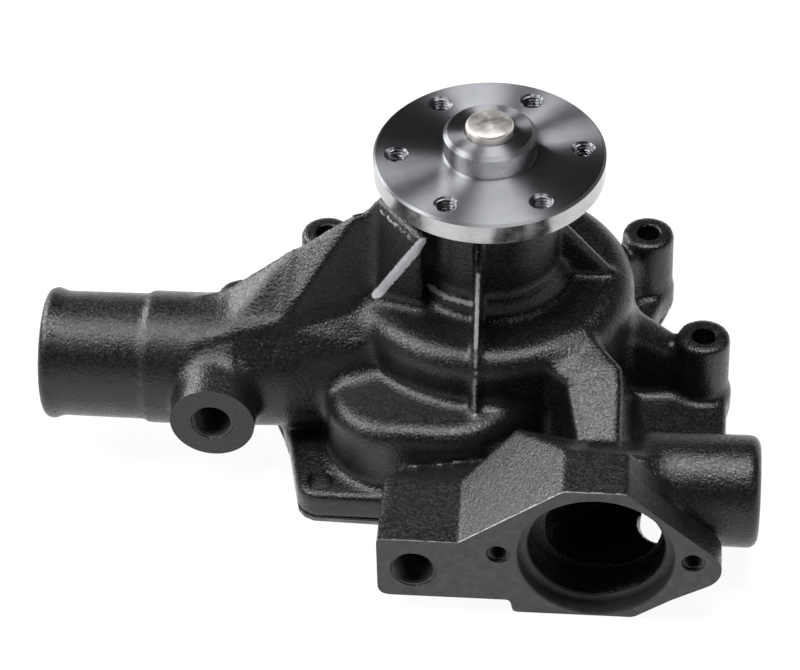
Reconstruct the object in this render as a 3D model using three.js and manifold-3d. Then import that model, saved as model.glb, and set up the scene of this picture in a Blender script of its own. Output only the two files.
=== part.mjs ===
// Engine coolant pump with a built-in thermostat housing.
//
// Frame: millimetres, +Z along the drive shaft towards the hub. The origin is on the shaft's
// axis in the plane where the pump bolts to the engine. -Y is the side of the thermostat
// opening and -X the side of the inlet hose tube.

import * as THREE from 'three';
import { ConvexGeometry } from 'three/addons/geometries/ConvexGeometry.js';
import { mergeVertices } from 'three/addons/utils/BufferGeometryUtils.js';
import Module from 'manifold-3d';

const wasm = await Module();
wasm.setup();

// ---------------------------------------------------------------- driving dimensions

const GAP = 0.3; // clearance between neighbouring pieces
const BEYOND = 5; // how far a cutter runs past the surface it cuts
const WELD = 0.01; // corners closer than this are one corner after a boolean
const FINE_ROUND = 40; // sides of the hub and the impeller chamber
const ROUND = 24; // sides of a large round
const SMALL_ROUND = 12; // sides of a bolt hole or a small boss

// heights above the mating plane
const PLATE_TOP = 1.6;
const GASKET_TOP = 2.4;
const FLANGE_TOP = 13;
const CHAMBER_TOP = 34;
const EYE_TOP = 38;
const BOSS_TOP = 38;
const LEDGE_TOP = 40;
const COLLAR_FOOT = 46;
const ROOF_UNDER = 54;
const SEAL_SEAT = 57.5;
const DRUM_TOP = 60;
const BEARING_FOOT = 64;
const BEARING_TOP = 97.7;
const TOWER_TOP = 98.5;
const HUB_REAR = 106;
const HUB_FRONT = 115;
const HUB_NOSE = 124.8;
const SHAFT_END = 128.3;

// radii about the shaft
const SHAFT_R = 8.7;
const INNER_SHAFT_R = 8;
const RACE_R = 19;
const RACE_BORE_R = 16.5;
const BALL_R = 3.175;
const BALL_PITCH_R = 13;
const TOWER_R = 25.5;
const TOWER_FOOT_R = 29;
const DRUM_R = 54.5;
const DRUM_FILLET = 8;
const CHAMBER_R = 47;
const SUCTION_R = 38;
const COLLAR_R = 23;
const EYE_R = 26;
const HUB_R = 42.5;
const HUB_NOSE_R = 17;
const HUB_HOLES = 6;
const HUB_HOLE_PITCH_R = 34;
const HUB_HOLE_R = 3.4;
const HUB_HOLE_TURN = THREE.MathUtils.degToRad(6);
const IMPELLER_R = 42;

// flange: bolt bosses as [x, y], the flange ear, and the back plate's screws
const BOSS_R = 10;
const BOLT_HOLE_R = 4.5;
const BOSSES = [[59, 50.6], [81.1, -9], [-66.5, 43.4], [-94.9, 4.2]];
const EAR = [-58.5, -69.5];
const EAR_R = 9;
const SCREW_PITCH_R = 57.5;
const SCREW_ANGLES = [12, 62, 112, 168, -58];
const SCREW_R = 2.5;
const SCREW_HEAD_R = 4.4;

// inlet tube along X and the heater port on its front
const TUBE_Y = -31;
const TUBE_Z = 36;
const TUBE_R = 23.4;
const TUBE_STEP_R = 24.8;
const TUBE_BORE_R = 19.3;
const TUBE_END_X = -164.4;
const TUBE_STEP_X = -126;
const TUBE_ROOT_X = -97;
// the gusset's sloping top as [back edge, front edge] stations from the tube to the tower
const GUSSET = [
  [[-107, -24, 60], [-107, -45.4, 55.6]],
  [[-97, -22.6, 63], [-97, -43, 57.6]],
  [[-72, -15.5, 78], [-75, -37.6, 60.4]],
  [[-48, -8.7, 92], [-41.4, -20.3, 60.4]],
  [[-40.5, -6.5, 96.6], [-41.4, -20.3, 60.4]],
  [[-40, -6.4, 97], [-21.5, -29.7, 97]],
];
const HEATER_X = -98;
const HEATER_FACE_Y = -66;
const HEATER_R = 15.5;
const HEATER_HOLE_R = 7.3;

// thermostat housing: its front face looks along -Y
const FACE_Y = -119.6;
const FACE_THICK = 13;
const BORE_X = 44.6;
const BORE_Z = 29;
const BORE_R = 24.25;
const SEAT_R = 27.75;
const SEAT_DEEP = 5.5;
const ROOF_Z = 61;
const ROOF_BACK_Y = -97;
const COVER_BOLT_X = [10.2, 78.9];
const COVER_BOLT_R = 3.4;
const COVER_BOLT_DEEP = 16;
const SWITCH_X = -20;
const SWITCH_Z = 19.2;
const SWITCH_R = 7.6;
const SWITCH_DEEP = 24;
const PORT_TOP_Z = 33.7;
const PORT_FOOT_Z = 6;
const PORT_BACK_Y = -88;
const PORT_LEFT_X = -33;
const OUTLET = [72.5, -70];
const OUTLET_R = 12.5;
const OUTLET_PAD_R = 20;

// stub along +X
const STUB_Y = -84;
const STUB_Z = 30.6;
const STUB_R = 20.3;
const STUB_END_X = 102;
const STUB_BORE_R = 12;

// ---------------------------------------------------------------- solid helpers

/** Merges corners closer than the tolerance, drops empty triangles and turns the faces outwards. */
function weld(source, tolerance = 1e-4) {
  const bare = source.index ? source.toNonIndexed() : source.clone();
  bare.deleteAttribute('normal');
  bare.deleteAttribute('uv');
  const merged = mergeVertices(bare, tolerance);
  const corner = merged.getAttribute('position');
  const index = merged.getIndex().array;
  const kept = [];
  let volume = 0;
  const a = new THREE.Vector3();
  const b = new THREE.Vector3();
  const c = new THREE.Vector3();
  for (let i = 0; i < index.length; i += 3) {
    const [p, q, r] = [index[i], index[i + 1], index[i + 2]];
    if (p === q || q === r || r === p) continue;
    kept.push(p, q, r);
    a.fromBufferAttribute(corner, p);
    b.fromBufferAttribute(corner, q);
    c.fromBufferAttribute(corner, r);
    volume += a.dot(b.cross(c));
  }
  if (volume < 0) kept.reverse();
  merged.setIndex(kept);
  return merged;
}

/** A solid for booleans, from any closed geometry. */
function solid(geometry) {
  const clean = weld(geometry);
  return new wasm.Manifold(new wasm.Mesh({
    numProp: 3,
    vertProperties: new Float32Array(clean.getAttribute('position').array),
    triVerts: new Uint32Array(clean.getIndex().array),
  }));
}

/** The geometry of a solid. */
function geometryOf(body) {
  const mesh = body.getMesh();
  const geometry = new THREE.BufferGeometry();
  geometry.setAttribute('position', new THREE.BufferAttribute(new Float32Array(mesh.vertProperties), 3));
  geometry.setIndex([...mesh.triVerts]);
  return geometry;
}

/** Joins solids. */
function join(solids) {
  return solids.reduce((whole, next) => whole.add(next));
}

/** Cuts each cutter out of a solid. */
function cut(body, cutters) {
  return cutters.reduce((left, cutter) => left.subtract(cutter), body);
}

/** Turned shape about Z from [radius, height] points that start and end on the axis or on each other. */
function turned(profile, sides = ROUND) {
  const points = profile.map(([r, h]) => new THREE.Vector2(r, h));
  return new THREE.LatheGeometry(points, sides).rotateX(Math.PI / 2);
}

/** Turned ring with a rectangular section. */
function ring(inner, outer, foot, top, sides = ROUND) {
  return turned([[inner, foot], [outer, foot], [outer, top], [inner, top], [inner, foot]], sides);
}

/** Points of a quarter fillet from the angle start to the angle end, in degrees. */
function arc(r, h, radius, start, end, steps = 4) {
  return Array.from({ length: steps + 1 }, (_, i) => {
    const turn = THREE.MathUtils.degToRad(start + (end - start) * i / steps);
    return [r + radius * Math.cos(turn), h + radius * Math.sin(turn)];
  });
}

/** Cone or cylinder along Z between two heights. */
function rodZ(x, y, foot, top, footR, topR = footR, sides = SMALL_ROUND) {
  return new THREE.CylinderGeometry(topR, footR, top - foot, sides)
    .rotateX(Math.PI / 2)
    .translate(x, y, (foot + top) / 2);
}

/** Cone or cylinder along Y; the first radius is the one at the lower Y. */
function rodY(x, z, from, to, fromR, toR = fromR, sides = ROUND) {
  return new THREE.CylinderGeometry(toR, fromR, to - from, sides).translate(x, (from + to) / 2, z);
}

/** Cone or cylinder along X; the first radius is the one at the lower X. */
function rodX(y, z, from, to, fromR, toR = fromR, sides = ROUND) {
  return new THREE.CylinderGeometry(fromR, toR, to - from, sides)
    .rotateZ(Math.PI / 2)
    .translate((from + to) / 2, y, z);
}

/** Level circle of points. */
function circleZ(x, y, z, r, sides = ROUND) {
  return Array.from({ length: sides }, (_, i) => {
    const turn = 2 * Math.PI * i / sides;
    return new THREE.Vector3(x + r * Math.cos(turn), y + r * Math.sin(turn), z);
  });
}

/** Upright circle of points in a plane across X. */
function circleX(x, y, z, r, sides = ROUND) {
  return circleZ(y, z, 0, r, sides).map((p) => new THREE.Vector3(x, p.x, p.y));
}

/** Upright circle of points in a plane across Y. */
function circleY(x, y, z, r, sides = ROUND) {
  return circleZ(x, z, 0, r, sides).map((p) => new THREE.Vector3(p.x, y, p.y));
}

/** Convex solid around points, which may be vectors or [x, y, z]. */
function hull(...groups) {
  const points = groups.flat().map((p) => (Array.isArray(p) ? new THREE.Vector3(...p) : p));
  return solid(new ConvexGeometry(points));
}

/** Upright prism around discs given as [x, y, radius]. */
function slab(foot, top, ...discs) {
  return hull(...discs.flatMap(([x, y, r]) => {
    const sides = r > 25 ? 28 : 14;
    return [circleZ(x, y, foot, r, sides), circleZ(x, y, top, r, sides)];
  }));
}

/** Upright prism like slab with its top edge chamfered. */
function crownedSlab(foot, top, edge, ...discs) {
  return hull(...discs.flatMap(([x, y, r]) => [
    circleZ(x, y, foot, r),
    circleZ(x, y, top - edge, r),
    circleZ(x, y, top - 0.3 * edge, r - 0.3 * edge),
    circleZ(x, y, top, r - edge),
  ]));
}

/** Straight prism across Y of an outline of [x, z] points. */
function prismY(outline, from, to) {
  const shape = new THREE.Shape(outline.map(([x, z]) => new THREE.Vector2(x, z)));
  return new THREE.ExtrudeGeometry(shape, { depth: to - from, bevelEnabled: false })
    .rotateX(Math.PI / 2)
    .translate(0, to, 0);
}

/** Straight prism across X of an outline of [y, z] points. */
function prismX(outline, from, to) {
  const shape = new THREE.Shape(outline.map(([y, z]) => new THREE.Vector2(y, z)));
  const [x, y, z] = [new THREE.Vector3(1, 0, 0), new THREE.Vector3(0, 1, 0), new THREE.Vector3(0, 0, 1)];
  return new THREE.ExtrudeGeometry(shape, { depth: to - from, bevelEnabled: false })
    .applyMatrix4(new THREE.Matrix4().makeBasis(y, z, x))
    .translate(from, 0, 0);
}

/** Level point at a radius and an angle in degrees. */
function polar(r, degrees) {
  const turn = THREE.MathUtils.degToRad(degrees);
  return [r * Math.cos(turn), r * Math.sin(turn)];
}

// ---------------------------------------------------------------- node list

const pump = new THREE.Group();

const FINISH = {
  black_paint: { color: 0x17181b, roughness: 0.45, metalness: 0.3 },
  turned_steel: { color: 0xb9b7b3, roughness: 0.28, metalness: 1 },
  bearing_steel: { color: 0x9c9da0, roughness: 0.2, metalness: 1 },
  zinc_plate: { color: 0x8f9296, roughness: 0.4, metalness: 1 },
  gasket_fibre: { color: 0x1b1c1c, roughness: 0.9, metalness: 0 },
  cast_iron: { color: 0x4c4b4a, roughness: 0.7, metalness: 0.6 },
  rubber: { color: 0x131313, roughness: 0.85, metalness: 0 },
  brass: { color: 0xa98442, roughness: 0.35, metalness: 1 },
  carbon: { color: 0x242425, roughness: 0.5, metalness: 0.1 },
  ceramic: { color: 0xe6e2d8, roughness: 0.3, metalness: 0 },
  cage_plastic: { color: 0xb3926a, roughness: 0.6, metalness: 0 },
};

/** Adds one named piece, given as a geometry or a boolean solid. */
function addPiece(name, finish, shape) {
  const geometry = shape.isBufferGeometry ? weld(shape) : weld(geometryOf(shape), WELD);
  geometry.computeVertexNormals();
  const mesh = new THREE.Mesh(geometry, new THREE.MeshStandardMaterial(FINISH[finish]));
  mesh.name = name;
  pump.add(mesh);
}

// ---------------------------------------------------------------- pump body casting

/** The flange's footprint, shared by the casting, the gasket and the back plate. */
function footprint(foot, top) {
  const [rightBack, right, leftBack, left] = BOSSES.map(([x, y]) => [x, y, BOSS_R]);
  return join([
    slab(foot, top, [0, 0, 62]),
    slab(foot, top, [8, 6, 44], rightBack),
    slab(foot, top, [16, -6, 40], right),
    slab(foot, top, [-10, 6, 44], leftBack),
    slab(foot, top, [-34, -4, 32], left, [-76, -14, 9]),
    slab(foot, top, [-40, -20, 20], [-76, -14, 9], [-62, -36, 13]),
    slab(foot, top, [-12, -46, 30.5], [-33, -50, 29], [EAR[0], EAR[1], EAR_R], [-60, -40, 14]),
  ]);
}

/** Solid metal of the pump side: flange, scroll, drum, bearing tower, ribs and bosses. */
function pumpSide() {
  const drum = turned([
    [0, GASKET_TOP], [DRUM_R, GASKET_TOP],
    ...arc(DRUM_R - DRUM_FILLET, DRUM_TOP - DRUM_FILLET, DRUM_FILLET, 0, 90),
    [0, DRUM_TOP],
  ], FINE_ROUND);
  const tower = turned([
    [0, DRUM_TOP - BEYOND], [TOWER_FOOT_R, DRUM_TOP - BEYOND], [TOWER_FOOT_R, DRUM_TOP + 5],
    [TOWER_R + 0.8, DRUM_TOP + 8], [TOWER_R, TOWER_TOP - 1], [TOWER_R - 1, TOWER_TOP], [0, TOWER_TOP],
  ]);
  const scroll = crownedSlab(GASKET_TOP, LEDGE_TOP, 5, [-12, -46, 27.5], [-31, -47, 26.5], [-4, -8, 46]);
  const frontRib = prismX([[-10, 96], [-32, 94], [-36, 88], [-61, LEDGE_TOP], [-68, 20], [-10, 20]], -3.8, -1);
  const rightRib = prismY([[10, 94], [27, 84], [47, DRUM_TOP], [47, 50], [10, 50]], -2.3, 2.3);
  const bosses = BOSSES.map(([x, y]) => solid(rodZ(x, y, GASKET_TOP, BOSS_TOP, BOSS_R + 0.6, BOSS_R)));
  const webs = BOSSES.map(([x, y]) => hull(
    circleZ(x * 0.85, y * 0.85, GASKET_TOP, 7, 12),
    circleZ(x * 0.85, y * 0.85, BOSS_TOP - 8, 6, 12),
    circleZ(x * 0.5, y * 0.5, GASKET_TOP, 12, 12),
    circleZ(x * 0.5, y * 0.5, BOSS_TOP + 8, 10, 12),
  ));
  return join([
    footprint(GASKET_TOP, FLANGE_TOP),
    slab(GASKET_TOP, FLANGE_TOP, [30, -26, 30], [BOSSES[1][0], BOSSES[1][1], BOSS_R], [72.5, -56, 18]),
    solid(drum),
    solid(tower),
    scroll,
    solid(frontRib),
    solid(rightRib),
    ...bosses,
    ...webs,
  ]);
}

/** Solid metal of the inlet: hose tube with its bead, heater port boss and the duct up to the tower. */
function inletSide() {
  const tube = rodX(TUBE_Y, TUBE_Z, TUBE_END_X + 4, TUBE_STEP_X, TUBE_R, TUBE_R + 0.4);
  const bead = turned([
    [0, 0], [TUBE_R - 0.8, 0], ...arc(TUBE_R - 1.6, 3, 2.9, -80, 80), [TUBE_R - 0.2, 6.4], [0, 6.4],
  ]).rotateY(Math.PI / 2).translate(TUBE_END_X, TUBE_Y, TUBE_Z);
  const root = rodX(TUBE_Y, TUBE_Z, TUBE_STEP_X, TUBE_ROOT_X + 1, TUBE_STEP_R);
  const duct = hull(
    circleX(TUBE_ROOT_X, TUBE_Y, TUBE_Z, TUBE_STEP_R + 0.4),
    circleX(-72, -30, 34, 23),
    [
      [-75, -37.6, DRUM_TOP], [-41.4, -20.3, DRUM_TOP], [-44, -36, 50], [-42, -41, 38], [-42, -42, 20],
      [-30, 20, 20], [-46, 12, DRUM_TOP],
    ],
  );
  const strips = GUSSET.slice(1).map((station, i) => hull(...[GUSSET[i], station].map(([back, front]) => [
    back, front, [back[0], back[1] + 14, 45], [front[0], front[1] + 6, 40],
  ])));
  const gusset = hull(GUSSET.at(-1), [
    [-15, -10, 97], [-15, 12, 97], [-36, 4, 92], [-46, 12, DRUM_TOP - 1], [-15, -8, DRUM_TOP - 1],
    [-41.4, -20.3, DRUM_TOP - 1],
  ]);
  const heaterBoss = rodY(HEATER_X, TUBE_Z, HEATER_FACE_Y, TUBE_Y, HEATER_R, HEATER_R + 1.5);
  return join([solid(tube), solid(bead), solid(root), duct, ...strips, gusset, solid(heaterBoss)]);
}

/** Outline of the thermostat housing's front face as [x, z] points. */
function faceOutline() {
  const ear = Array.from({ length: 9 }, (_, i) => {
    const [x, z] = polar(9.5, 50 - 110 * i / 8);
    return [COVER_BOLT_X[1] + 0.6 + x, 25.5 + z];
  });
  return [
    [PORT_LEFT_X, PORT_FOOT_Z], [PORT_LEFT_X, PORT_TOP_Z], [-3.9, PORT_TOP_Z], [32.6, ROOF_Z],
    [54.5, ROOF_Z], ...ear, [72, 9.8], [58.6, 0], [15.5, 0], [14.5, PORT_FOOT_Z],
  ];
}

/** Solid metal of the thermostat housing, with the outlet pad and the stub. */
function housingSide() {
  const face = solid(prismY(faceOutline(), FACE_Y, FACE_Y + FACE_THICK));
  const roof = hull(
    circleY(BORE_X, FACE_Y + 2, BORE_Z, 29),
    circleY(BORE_X, ROOF_BACK_Y, BORE_Z, 29),
    [[32.6, FACE_Y + 2, ROOF_Z], [54.5, FACE_Y + 2, ROOF_Z], [32.6, ROOF_BACK_Y, ROOF_Z],
      [54.5, ROOF_BACK_Y, ROOF_Z]],
  );
  const facet = hull([
    [-3.9, FACE_Y + 2, PORT_TOP_Z], [32.6, FACE_Y + 2, ROOF_Z], [32.6, ROOF_BACK_Y, ROOF_Z],
    [14.3, -74, 47.4], [-4.5, -86.5, PORT_TOP_Z], [-3.9, FACE_Y + 2, PORT_FOOT_Z],
    [-4, -76, PORT_FOOT_Z], [14, -68, PORT_FOOT_Z], [40, -72, PORT_FOOT_Z], [40, -84, 52],
    [40, FACE_Y + 2, PORT_FOOT_Z],
  ]);
  const portBlock = hull([
    [PORT_LEFT_X, FACE_Y + 2, PORT_FOOT_Z], [PORT_LEFT_X, FACE_Y + 2, PORT_TOP_Z],
    [PORT_LEFT_X, PORT_BACK_Y, PORT_TOP_Z], [PORT_LEFT_X + 3, -78, PORT_FOOT_Z],
    [20, FACE_Y + 2, PORT_FOOT_Z], [20, FACE_Y + 2, PORT_TOP_Z], [20, PORT_BACK_Y, PORT_TOP_Z],
    [-25, -70, PORT_FOOT_Z], [-25, -72, 24], [20, -66, PORT_FOOT_Z], [20, -68, 28],
  ]);
  const shell = hull(
    circleY(BORE_X, ROOF_BACK_Y + 1, BORE_Z, 29),
    circleZ(...OUTLET, 0, OUTLET_PAD_R),
    circleZ(...OUTLET, 24, OUTLET_PAD_R - 2),
    circleZ(42, -74, 0, 18),
    circleZ(44, -78, 34, 14),
  );
  const stub = turned([
    [0, 0], [STUB_R - 0.4, 0], [STUB_R, 30], ...arc(STUB_R - 4, STUB_END_X - 64, 4, 0, 90),
    [0, STUB_END_X - 60],
  ]).rotateY(Math.PI / 2).translate(60, STUB_Y, STUB_Z);
  const bridge = hull([
    [14, -40, 57], [30.6, -53.4, 53], [37, -31, 59], [51, -47.9, 55], [47, -56, 51.5],
    [56, -18, FLANGE_TOP], [20, -20, GASKET_TOP], [58, -30, GASKET_TOP], [56, -54, GASKET_TOP],
    [28, -52, GASKET_TOP], [14, -44, GASKET_TOP],
  ]).add(hull([
    [30.6, -53.4, 53], [51, -47.9, 55], [51.5, -84, 41], [38.2, -84, 41], [36, -63, 48.5],
    [59, -40, GASKET_TOP], [58, -84, FLANGE_TOP], [36, -84, FLANGE_TOP], [28, -54, GASKET_TOP],
  ]));
  const housing = join([face, roof, facet, portBlock, shell, solid(stub)]);
  const below = new THREE.BoxGeometry(400, 400, 100).translate(0, 0, -50);
  return cut(housing, [solid(below)]).add(bridge);
}

/** The hollows: impeller chamber, scroll, suction passage, seal bore and bearing bore. */
function pumpHollows() {
  const below = GASKET_TOP - BEYOND;
  const shaftWay = turned([
    [0, below], [CHAMBER_R, below], [CHAMBER_R, CHAMBER_TOP], [EYE_R, CHAMBER_TOP], [EYE_R, EYE_TOP],
    [SUCTION_R, EYE_TOP], [SUCTION_R, ROOF_UNDER], [COLLAR_R, ROOF_UNDER], [COLLAR_R, COLLAR_FOOT],
    [18.2, COLLAR_FOOT], [18.2, SEAL_SEAT], [14.8, SEAL_SEAT], [14.8, BEARING_FOOT - GAP],
    [RACE_R + GAP, BEARING_FOOT - GAP], [RACE_R + GAP, TOWER_TOP + BEYOND], [0, TOWER_TOP + BEYOND],
  ], 36);
  const scroll = slab(below, 32, [-12, -46, 18.5], [-31, -47, 18], [-6, -12, 40]);
  const throat = slab(below, 18.5, [-50, -28, 14], [-31, -47, 18], [-20, -20, 20]);
  const suction = hull(
    circleX(-73, TUBE_Y, TUBE_Z, 17),
    [-28, -4].flatMap((y) => [EYE_TOP + 0.5, ROOF_UNDER].map((z) => [-36, y, z])),
    [[-20, -24, EYE_TOP + 0.5], [-20, -24, ROOF_UNDER], [-20, 4, EYE_TOP + 0.5], [-20, 4, ROOF_UNDER]],
  );
  const collar = solid(ring(18.2, COLLAR_R, COLLAR_FOOT, ROOF_UNDER + 1));
  const weepHole = rodY(0, DRUM_TOP + 2, 8, TOWER_FOOT_R + 4, 1.6, 1.6, 12);
  return [
    solid(shaftWay),
    scroll,
    throat,
    suction.subtract(collar),
    solid(rodX(TUBE_Y, TUBE_Z, TUBE_END_X - BEYOND, -71, TUBE_BORE_R, 17.5)),
    solid(rodY(HEATER_X, TUBE_Z, HEATER_FACE_Y - BEYOND, TUBE_Y, HEATER_HOLE_R, HEATER_HOLE_R, 24)),
    solid(weepHole),
  ];
}

/** The thermostat bore, outlet, stub bore and tapped ports. */
function housingHollows() {
  const bore = rodY(BORE_X, BORE_Z, FACE_Y - BEYOND, ROOF_BACK_Y - 4, BORE_R);
  const seat = rodY(BORE_X, BORE_Z, FACE_Y - BEYOND, FACE_Y + SEAT_DEEP, SEAT_R);
  const chamber = hull(
    circleY(BORE_X, ROOF_BACK_Y - 6, BORE_Z, BORE_R - 2.5),
    circleZ(...OUTLET, 6, OUTLET_R),
    circleZ(...OUTLET, 20, OUTLET_R - 1),
    circleZ(46, -78, 6, 10),
    circleZ(46, -80, 28, 8),
  );
  const coverBolts = COVER_BOLT_X.map((x) => solid(
    rodY(x, BORE_Z, FACE_Y - BEYOND, FACE_Y + COVER_BOLT_DEEP, COVER_BOLT_R, COVER_BOLT_R, 16)));
  return [
    solid(bore),
    solid(seat),
    chamber,
    solid(rodZ(...OUTLET, -BEYOND, 8, OUTLET_R, OUTLET_R, 32)),
    solid(rodX(STUB_Y, STUB_Z, 58, STUB_END_X + BEYOND, STUB_BORE_R, STUB_BORE_R, 28)),
    solid(rodY(SWITCH_X, SWITCH_Z, FACE_Y - BEYOND, FACE_Y + SWITCH_DEEP, SWITCH_R, SWITCH_R, 24)),
    ...coverBolts,
  ];
}

/** Holes for the mounting bolts, through whatever the given heights hold. */
function boltHoles(foot, top) {
  return [...BOSSES, EAR].map(([x, y]) => solid(rodZ(x, y, foot, top, BOLT_HOLE_R)));
}

/** Holes for the back plate's screws. */
function screwHoles(foot, top, radius) {
  return SCREW_ANGLES.map((angle) => solid(rodZ(...polar(SCREW_PITCH_R, angle), foot, top, radius, radius, 12)));
}

function pumpBody() {
  const metal = join([pumpSide(), inletSide(), housingSide()]);
  return cut(metal, [
    ...pumpHollows(),
    ...housingHollows(),
    ...boltHoles(-BEYOND, BOSS_TOP + BEYOND),
    ...screwHoles(-BEYOND, 11.5, SCREW_R + GAP),
  ]);
}

addPiece('pump_body', 'black_paint', pumpBody());

// ---------------------------------------------------------------- rear closure

/** The space that the casting's outlet pad takes at the mating plane, with clearance. */
function padClearance() {
  return slab(-BEYOND, FLANGE_TOP, [...OUTLET, OUTLET_PAD_R + 1], [42, -74, 19], [BORE_X, -100, 30]);
}

const gasketWindow = slab(0, GASKET_TOP + 1, [-12, -46, 20], [-31, -47, 19.5], [-50, -28, 15], [-6, -12, 42]);
addPiece('gasket', 'gasket_fibre', cut(footprint(PLATE_TOP, GASKET_TOP), [
  padClearance(),
  solid(rodZ(0, 0, 0, FLANGE_TOP, CHAMBER_R + 1.5, CHAMBER_R + 1.5, 36)),
  gasketWindow,
  ...boltHoles(-BEYOND, FLANGE_TOP),
  ...screwHoles(-BEYOND, FLANGE_TOP, SCREW_R + GAP),
]));

const plateSinks = SCREW_ANGLES.map((angle) => solid(
  rodZ(...polar(SCREW_PITCH_R, angle), 0, PLATE_TOP, SCREW_HEAD_R + GAP, SCREW_R + GAP + 0.3, 16)));
addPiece('back_plate', 'zinc_plate', cut(footprint(0, PLATE_TOP), [
  padClearance(),
  slab(-BEYOND, FLANGE_TOP, [-50, -28, 11], [-34, -45, 12]),
  ...boltHoles(-BEYOND, FLANGE_TOP),
  ...plateSinks,
]));

const screwProfile = [
  [0, 0.1], [SCREW_HEAD_R, 0.1], [SCREW_R, PLATE_TOP + 0.1], [SCREW_R, 10], [SCREW_R - 0.7, 10.8], [0, 10.8],
];
SCREW_ANGLES.forEach((angle, i) => {
  const screw = turned(screwProfile, 12).translate(...polar(SCREW_PITCH_R, angle), 0);
  addPiece(`plate_screw_${i + 1}`, 'zinc_plate', screw);
});

// ---------------------------------------------------------------- rotating set

function hubFlange() {
  const blank = turned([
    [SHAFT_R + GAP, HUB_REAR - 6], [16, HUB_REAR - 6], [16.8, HUB_REAR - 5], [18, HUB_REAR],
    [HUB_R - 0.8, HUB_REAR], [HUB_R, HUB_REAR + 0.8], [HUB_R, HUB_FRONT - 0.8],
    [HUB_R - 0.8, HUB_FRONT], [HUB_NOSE_R, HUB_FRONT],
    [HUB_NOSE_R, HUB_NOSE - 1.2], [HUB_NOSE_R - 1.2, HUB_NOSE], [SHAFT_R + GAP, HUB_NOSE],
    [SHAFT_R + GAP, HUB_REAR - 6],
  ], FINE_ROUND);
  const holes = Array.from({ length: HUB_HOLES }, (_, i) => {
    const turn = HUB_HOLE_TURN + 2 * Math.PI * i / HUB_HOLES;
    const [x, y] = [HUB_HOLE_PITCH_R * Math.cos(turn), HUB_HOLE_PITCH_R * Math.sin(turn)];
    const sink = rodZ(x, y, HUB_FRONT - 1, HUB_FRONT + 1, HUB_HOLE_R, HUB_HOLE_R + 2, SMALL_ROUND);
    const bore = rodZ(x, y, HUB_REAR - 1, HUB_FRONT + 1, HUB_HOLE_R, HUB_HOLE_R);
    return solid(bore).add(solid(sink));
  });
  return cut(solid(blank), holes);
}
addPiece('hub_flange', 'turned_steel', hubFlange());

const RACE_LOW_Z = BEARING_FOOT + 9;
const RACE_HIGH_Z = BEARING_TOP - 9;
const GROOVE_R = BALL_R + GAP;
const JOURNAL_R = 10.6;
const grooveHalf = Math.acos((BALL_PITCH_R - JOURNAL_R) / GROOVE_R) * 180 / Math.PI;
const groove = (z) => arc(BALL_PITCH_R, z, GROOVE_R, 180 + grooveHalf, 180 - grooveHalf, 3);
addPiece('drive_shaft', 'bearing_steel', turned([
  [0, 7], [INNER_SHAFT_R - 1, 7], [INNER_SHAFT_R, 8], [INNER_SHAFT_R, SEAL_SEAT + 1],
  [JOURNAL_R, BEARING_FOOT - 2], ...groove(RACE_LOW_Z), ...groove(RACE_HIGH_Z),
  [JOURNAL_R, BEARING_TOP + 1], [SHAFT_R, BEARING_TOP + 2], [SHAFT_R, SHAFT_END - 1],
  [SHAFT_R - 1, SHAFT_END], [0, SHAFT_END],
], 24));

/** Impeller: back disc, hub and backward-curved vanes that face the suction side. */
function impeller() {
  const DISC_FOOT = 9;
  const DISC_TOP = 12;
  const VANE_TOP = 31;
  const HUB_TOP = 27;
  const VANES = 7;
  const VANE_THICK = 3.2;
  const VANE_SWEEP = 46;
  const disc = turned([
    [INNER_SHAFT_R + GAP, DISC_FOOT], [IMPELLER_R, DISC_FOOT], [IMPELLER_R, DISC_TOP],
    [19, DISC_TOP + 2], [14.5, HUB_TOP], [INNER_SHAFT_R + GAP, HUB_TOP], [INNER_SHAFT_R + GAP, DISC_FOOT],
  ], 36);
  const side = (offset) => Array.from({ length: 7 }, (_, i) => {
    const r = 16 + (IMPELLER_R - 16.4) * i / 6;
    const [x, y] = polar(r, VANE_SWEEP * i / 6 + THREE.MathUtils.radToDeg(offset / r));
    return new THREE.Vector2(x, y);
  });
  const vaneShape = new THREE.Shape([...side(-VANE_THICK / 2), ...side(VANE_THICK / 2).reverse()]);
  const vanes = Array.from({ length: VANES }, (_, i) => solid(
    new THREE.ExtrudeGeometry(vaneShape, { depth: VANE_TOP - DISC_FOOT - 1, bevelEnabled: false })
      .translate(0, 0, DISC_FOOT + 1)
      .rotateZ(2 * Math.PI * i / VANES)));
  return join([solid(disc), ...vanes]);
}
addPiece('impeller', 'cast_iron', impeller());

// ---------------------------------------------------------------- shaft bearing

const raceGroove = (z) => arc(BALL_PITCH_R, z, GROOVE_R + 0.5, -35, 35, 2);
addPiece('bearing_outer_race', 'bearing_steel', turned([
  [RACE_BORE_R - 0.6, BEARING_FOOT], [RACE_R - 0.7, BEARING_FOOT], [RACE_R, BEARING_FOOT + 0.7],
  [RACE_R, BEARING_TOP - 0.7], [RACE_R - 0.7, BEARING_TOP], [RACE_BORE_R - 0.6, BEARING_TOP],
  ...raceGroove(RACE_HIGH_Z).reverse(), ...raceGroove(RACE_LOW_Z).reverse(),
  [RACE_BORE_R - 0.6, BEARING_FOOT],
], ROUND));

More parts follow.
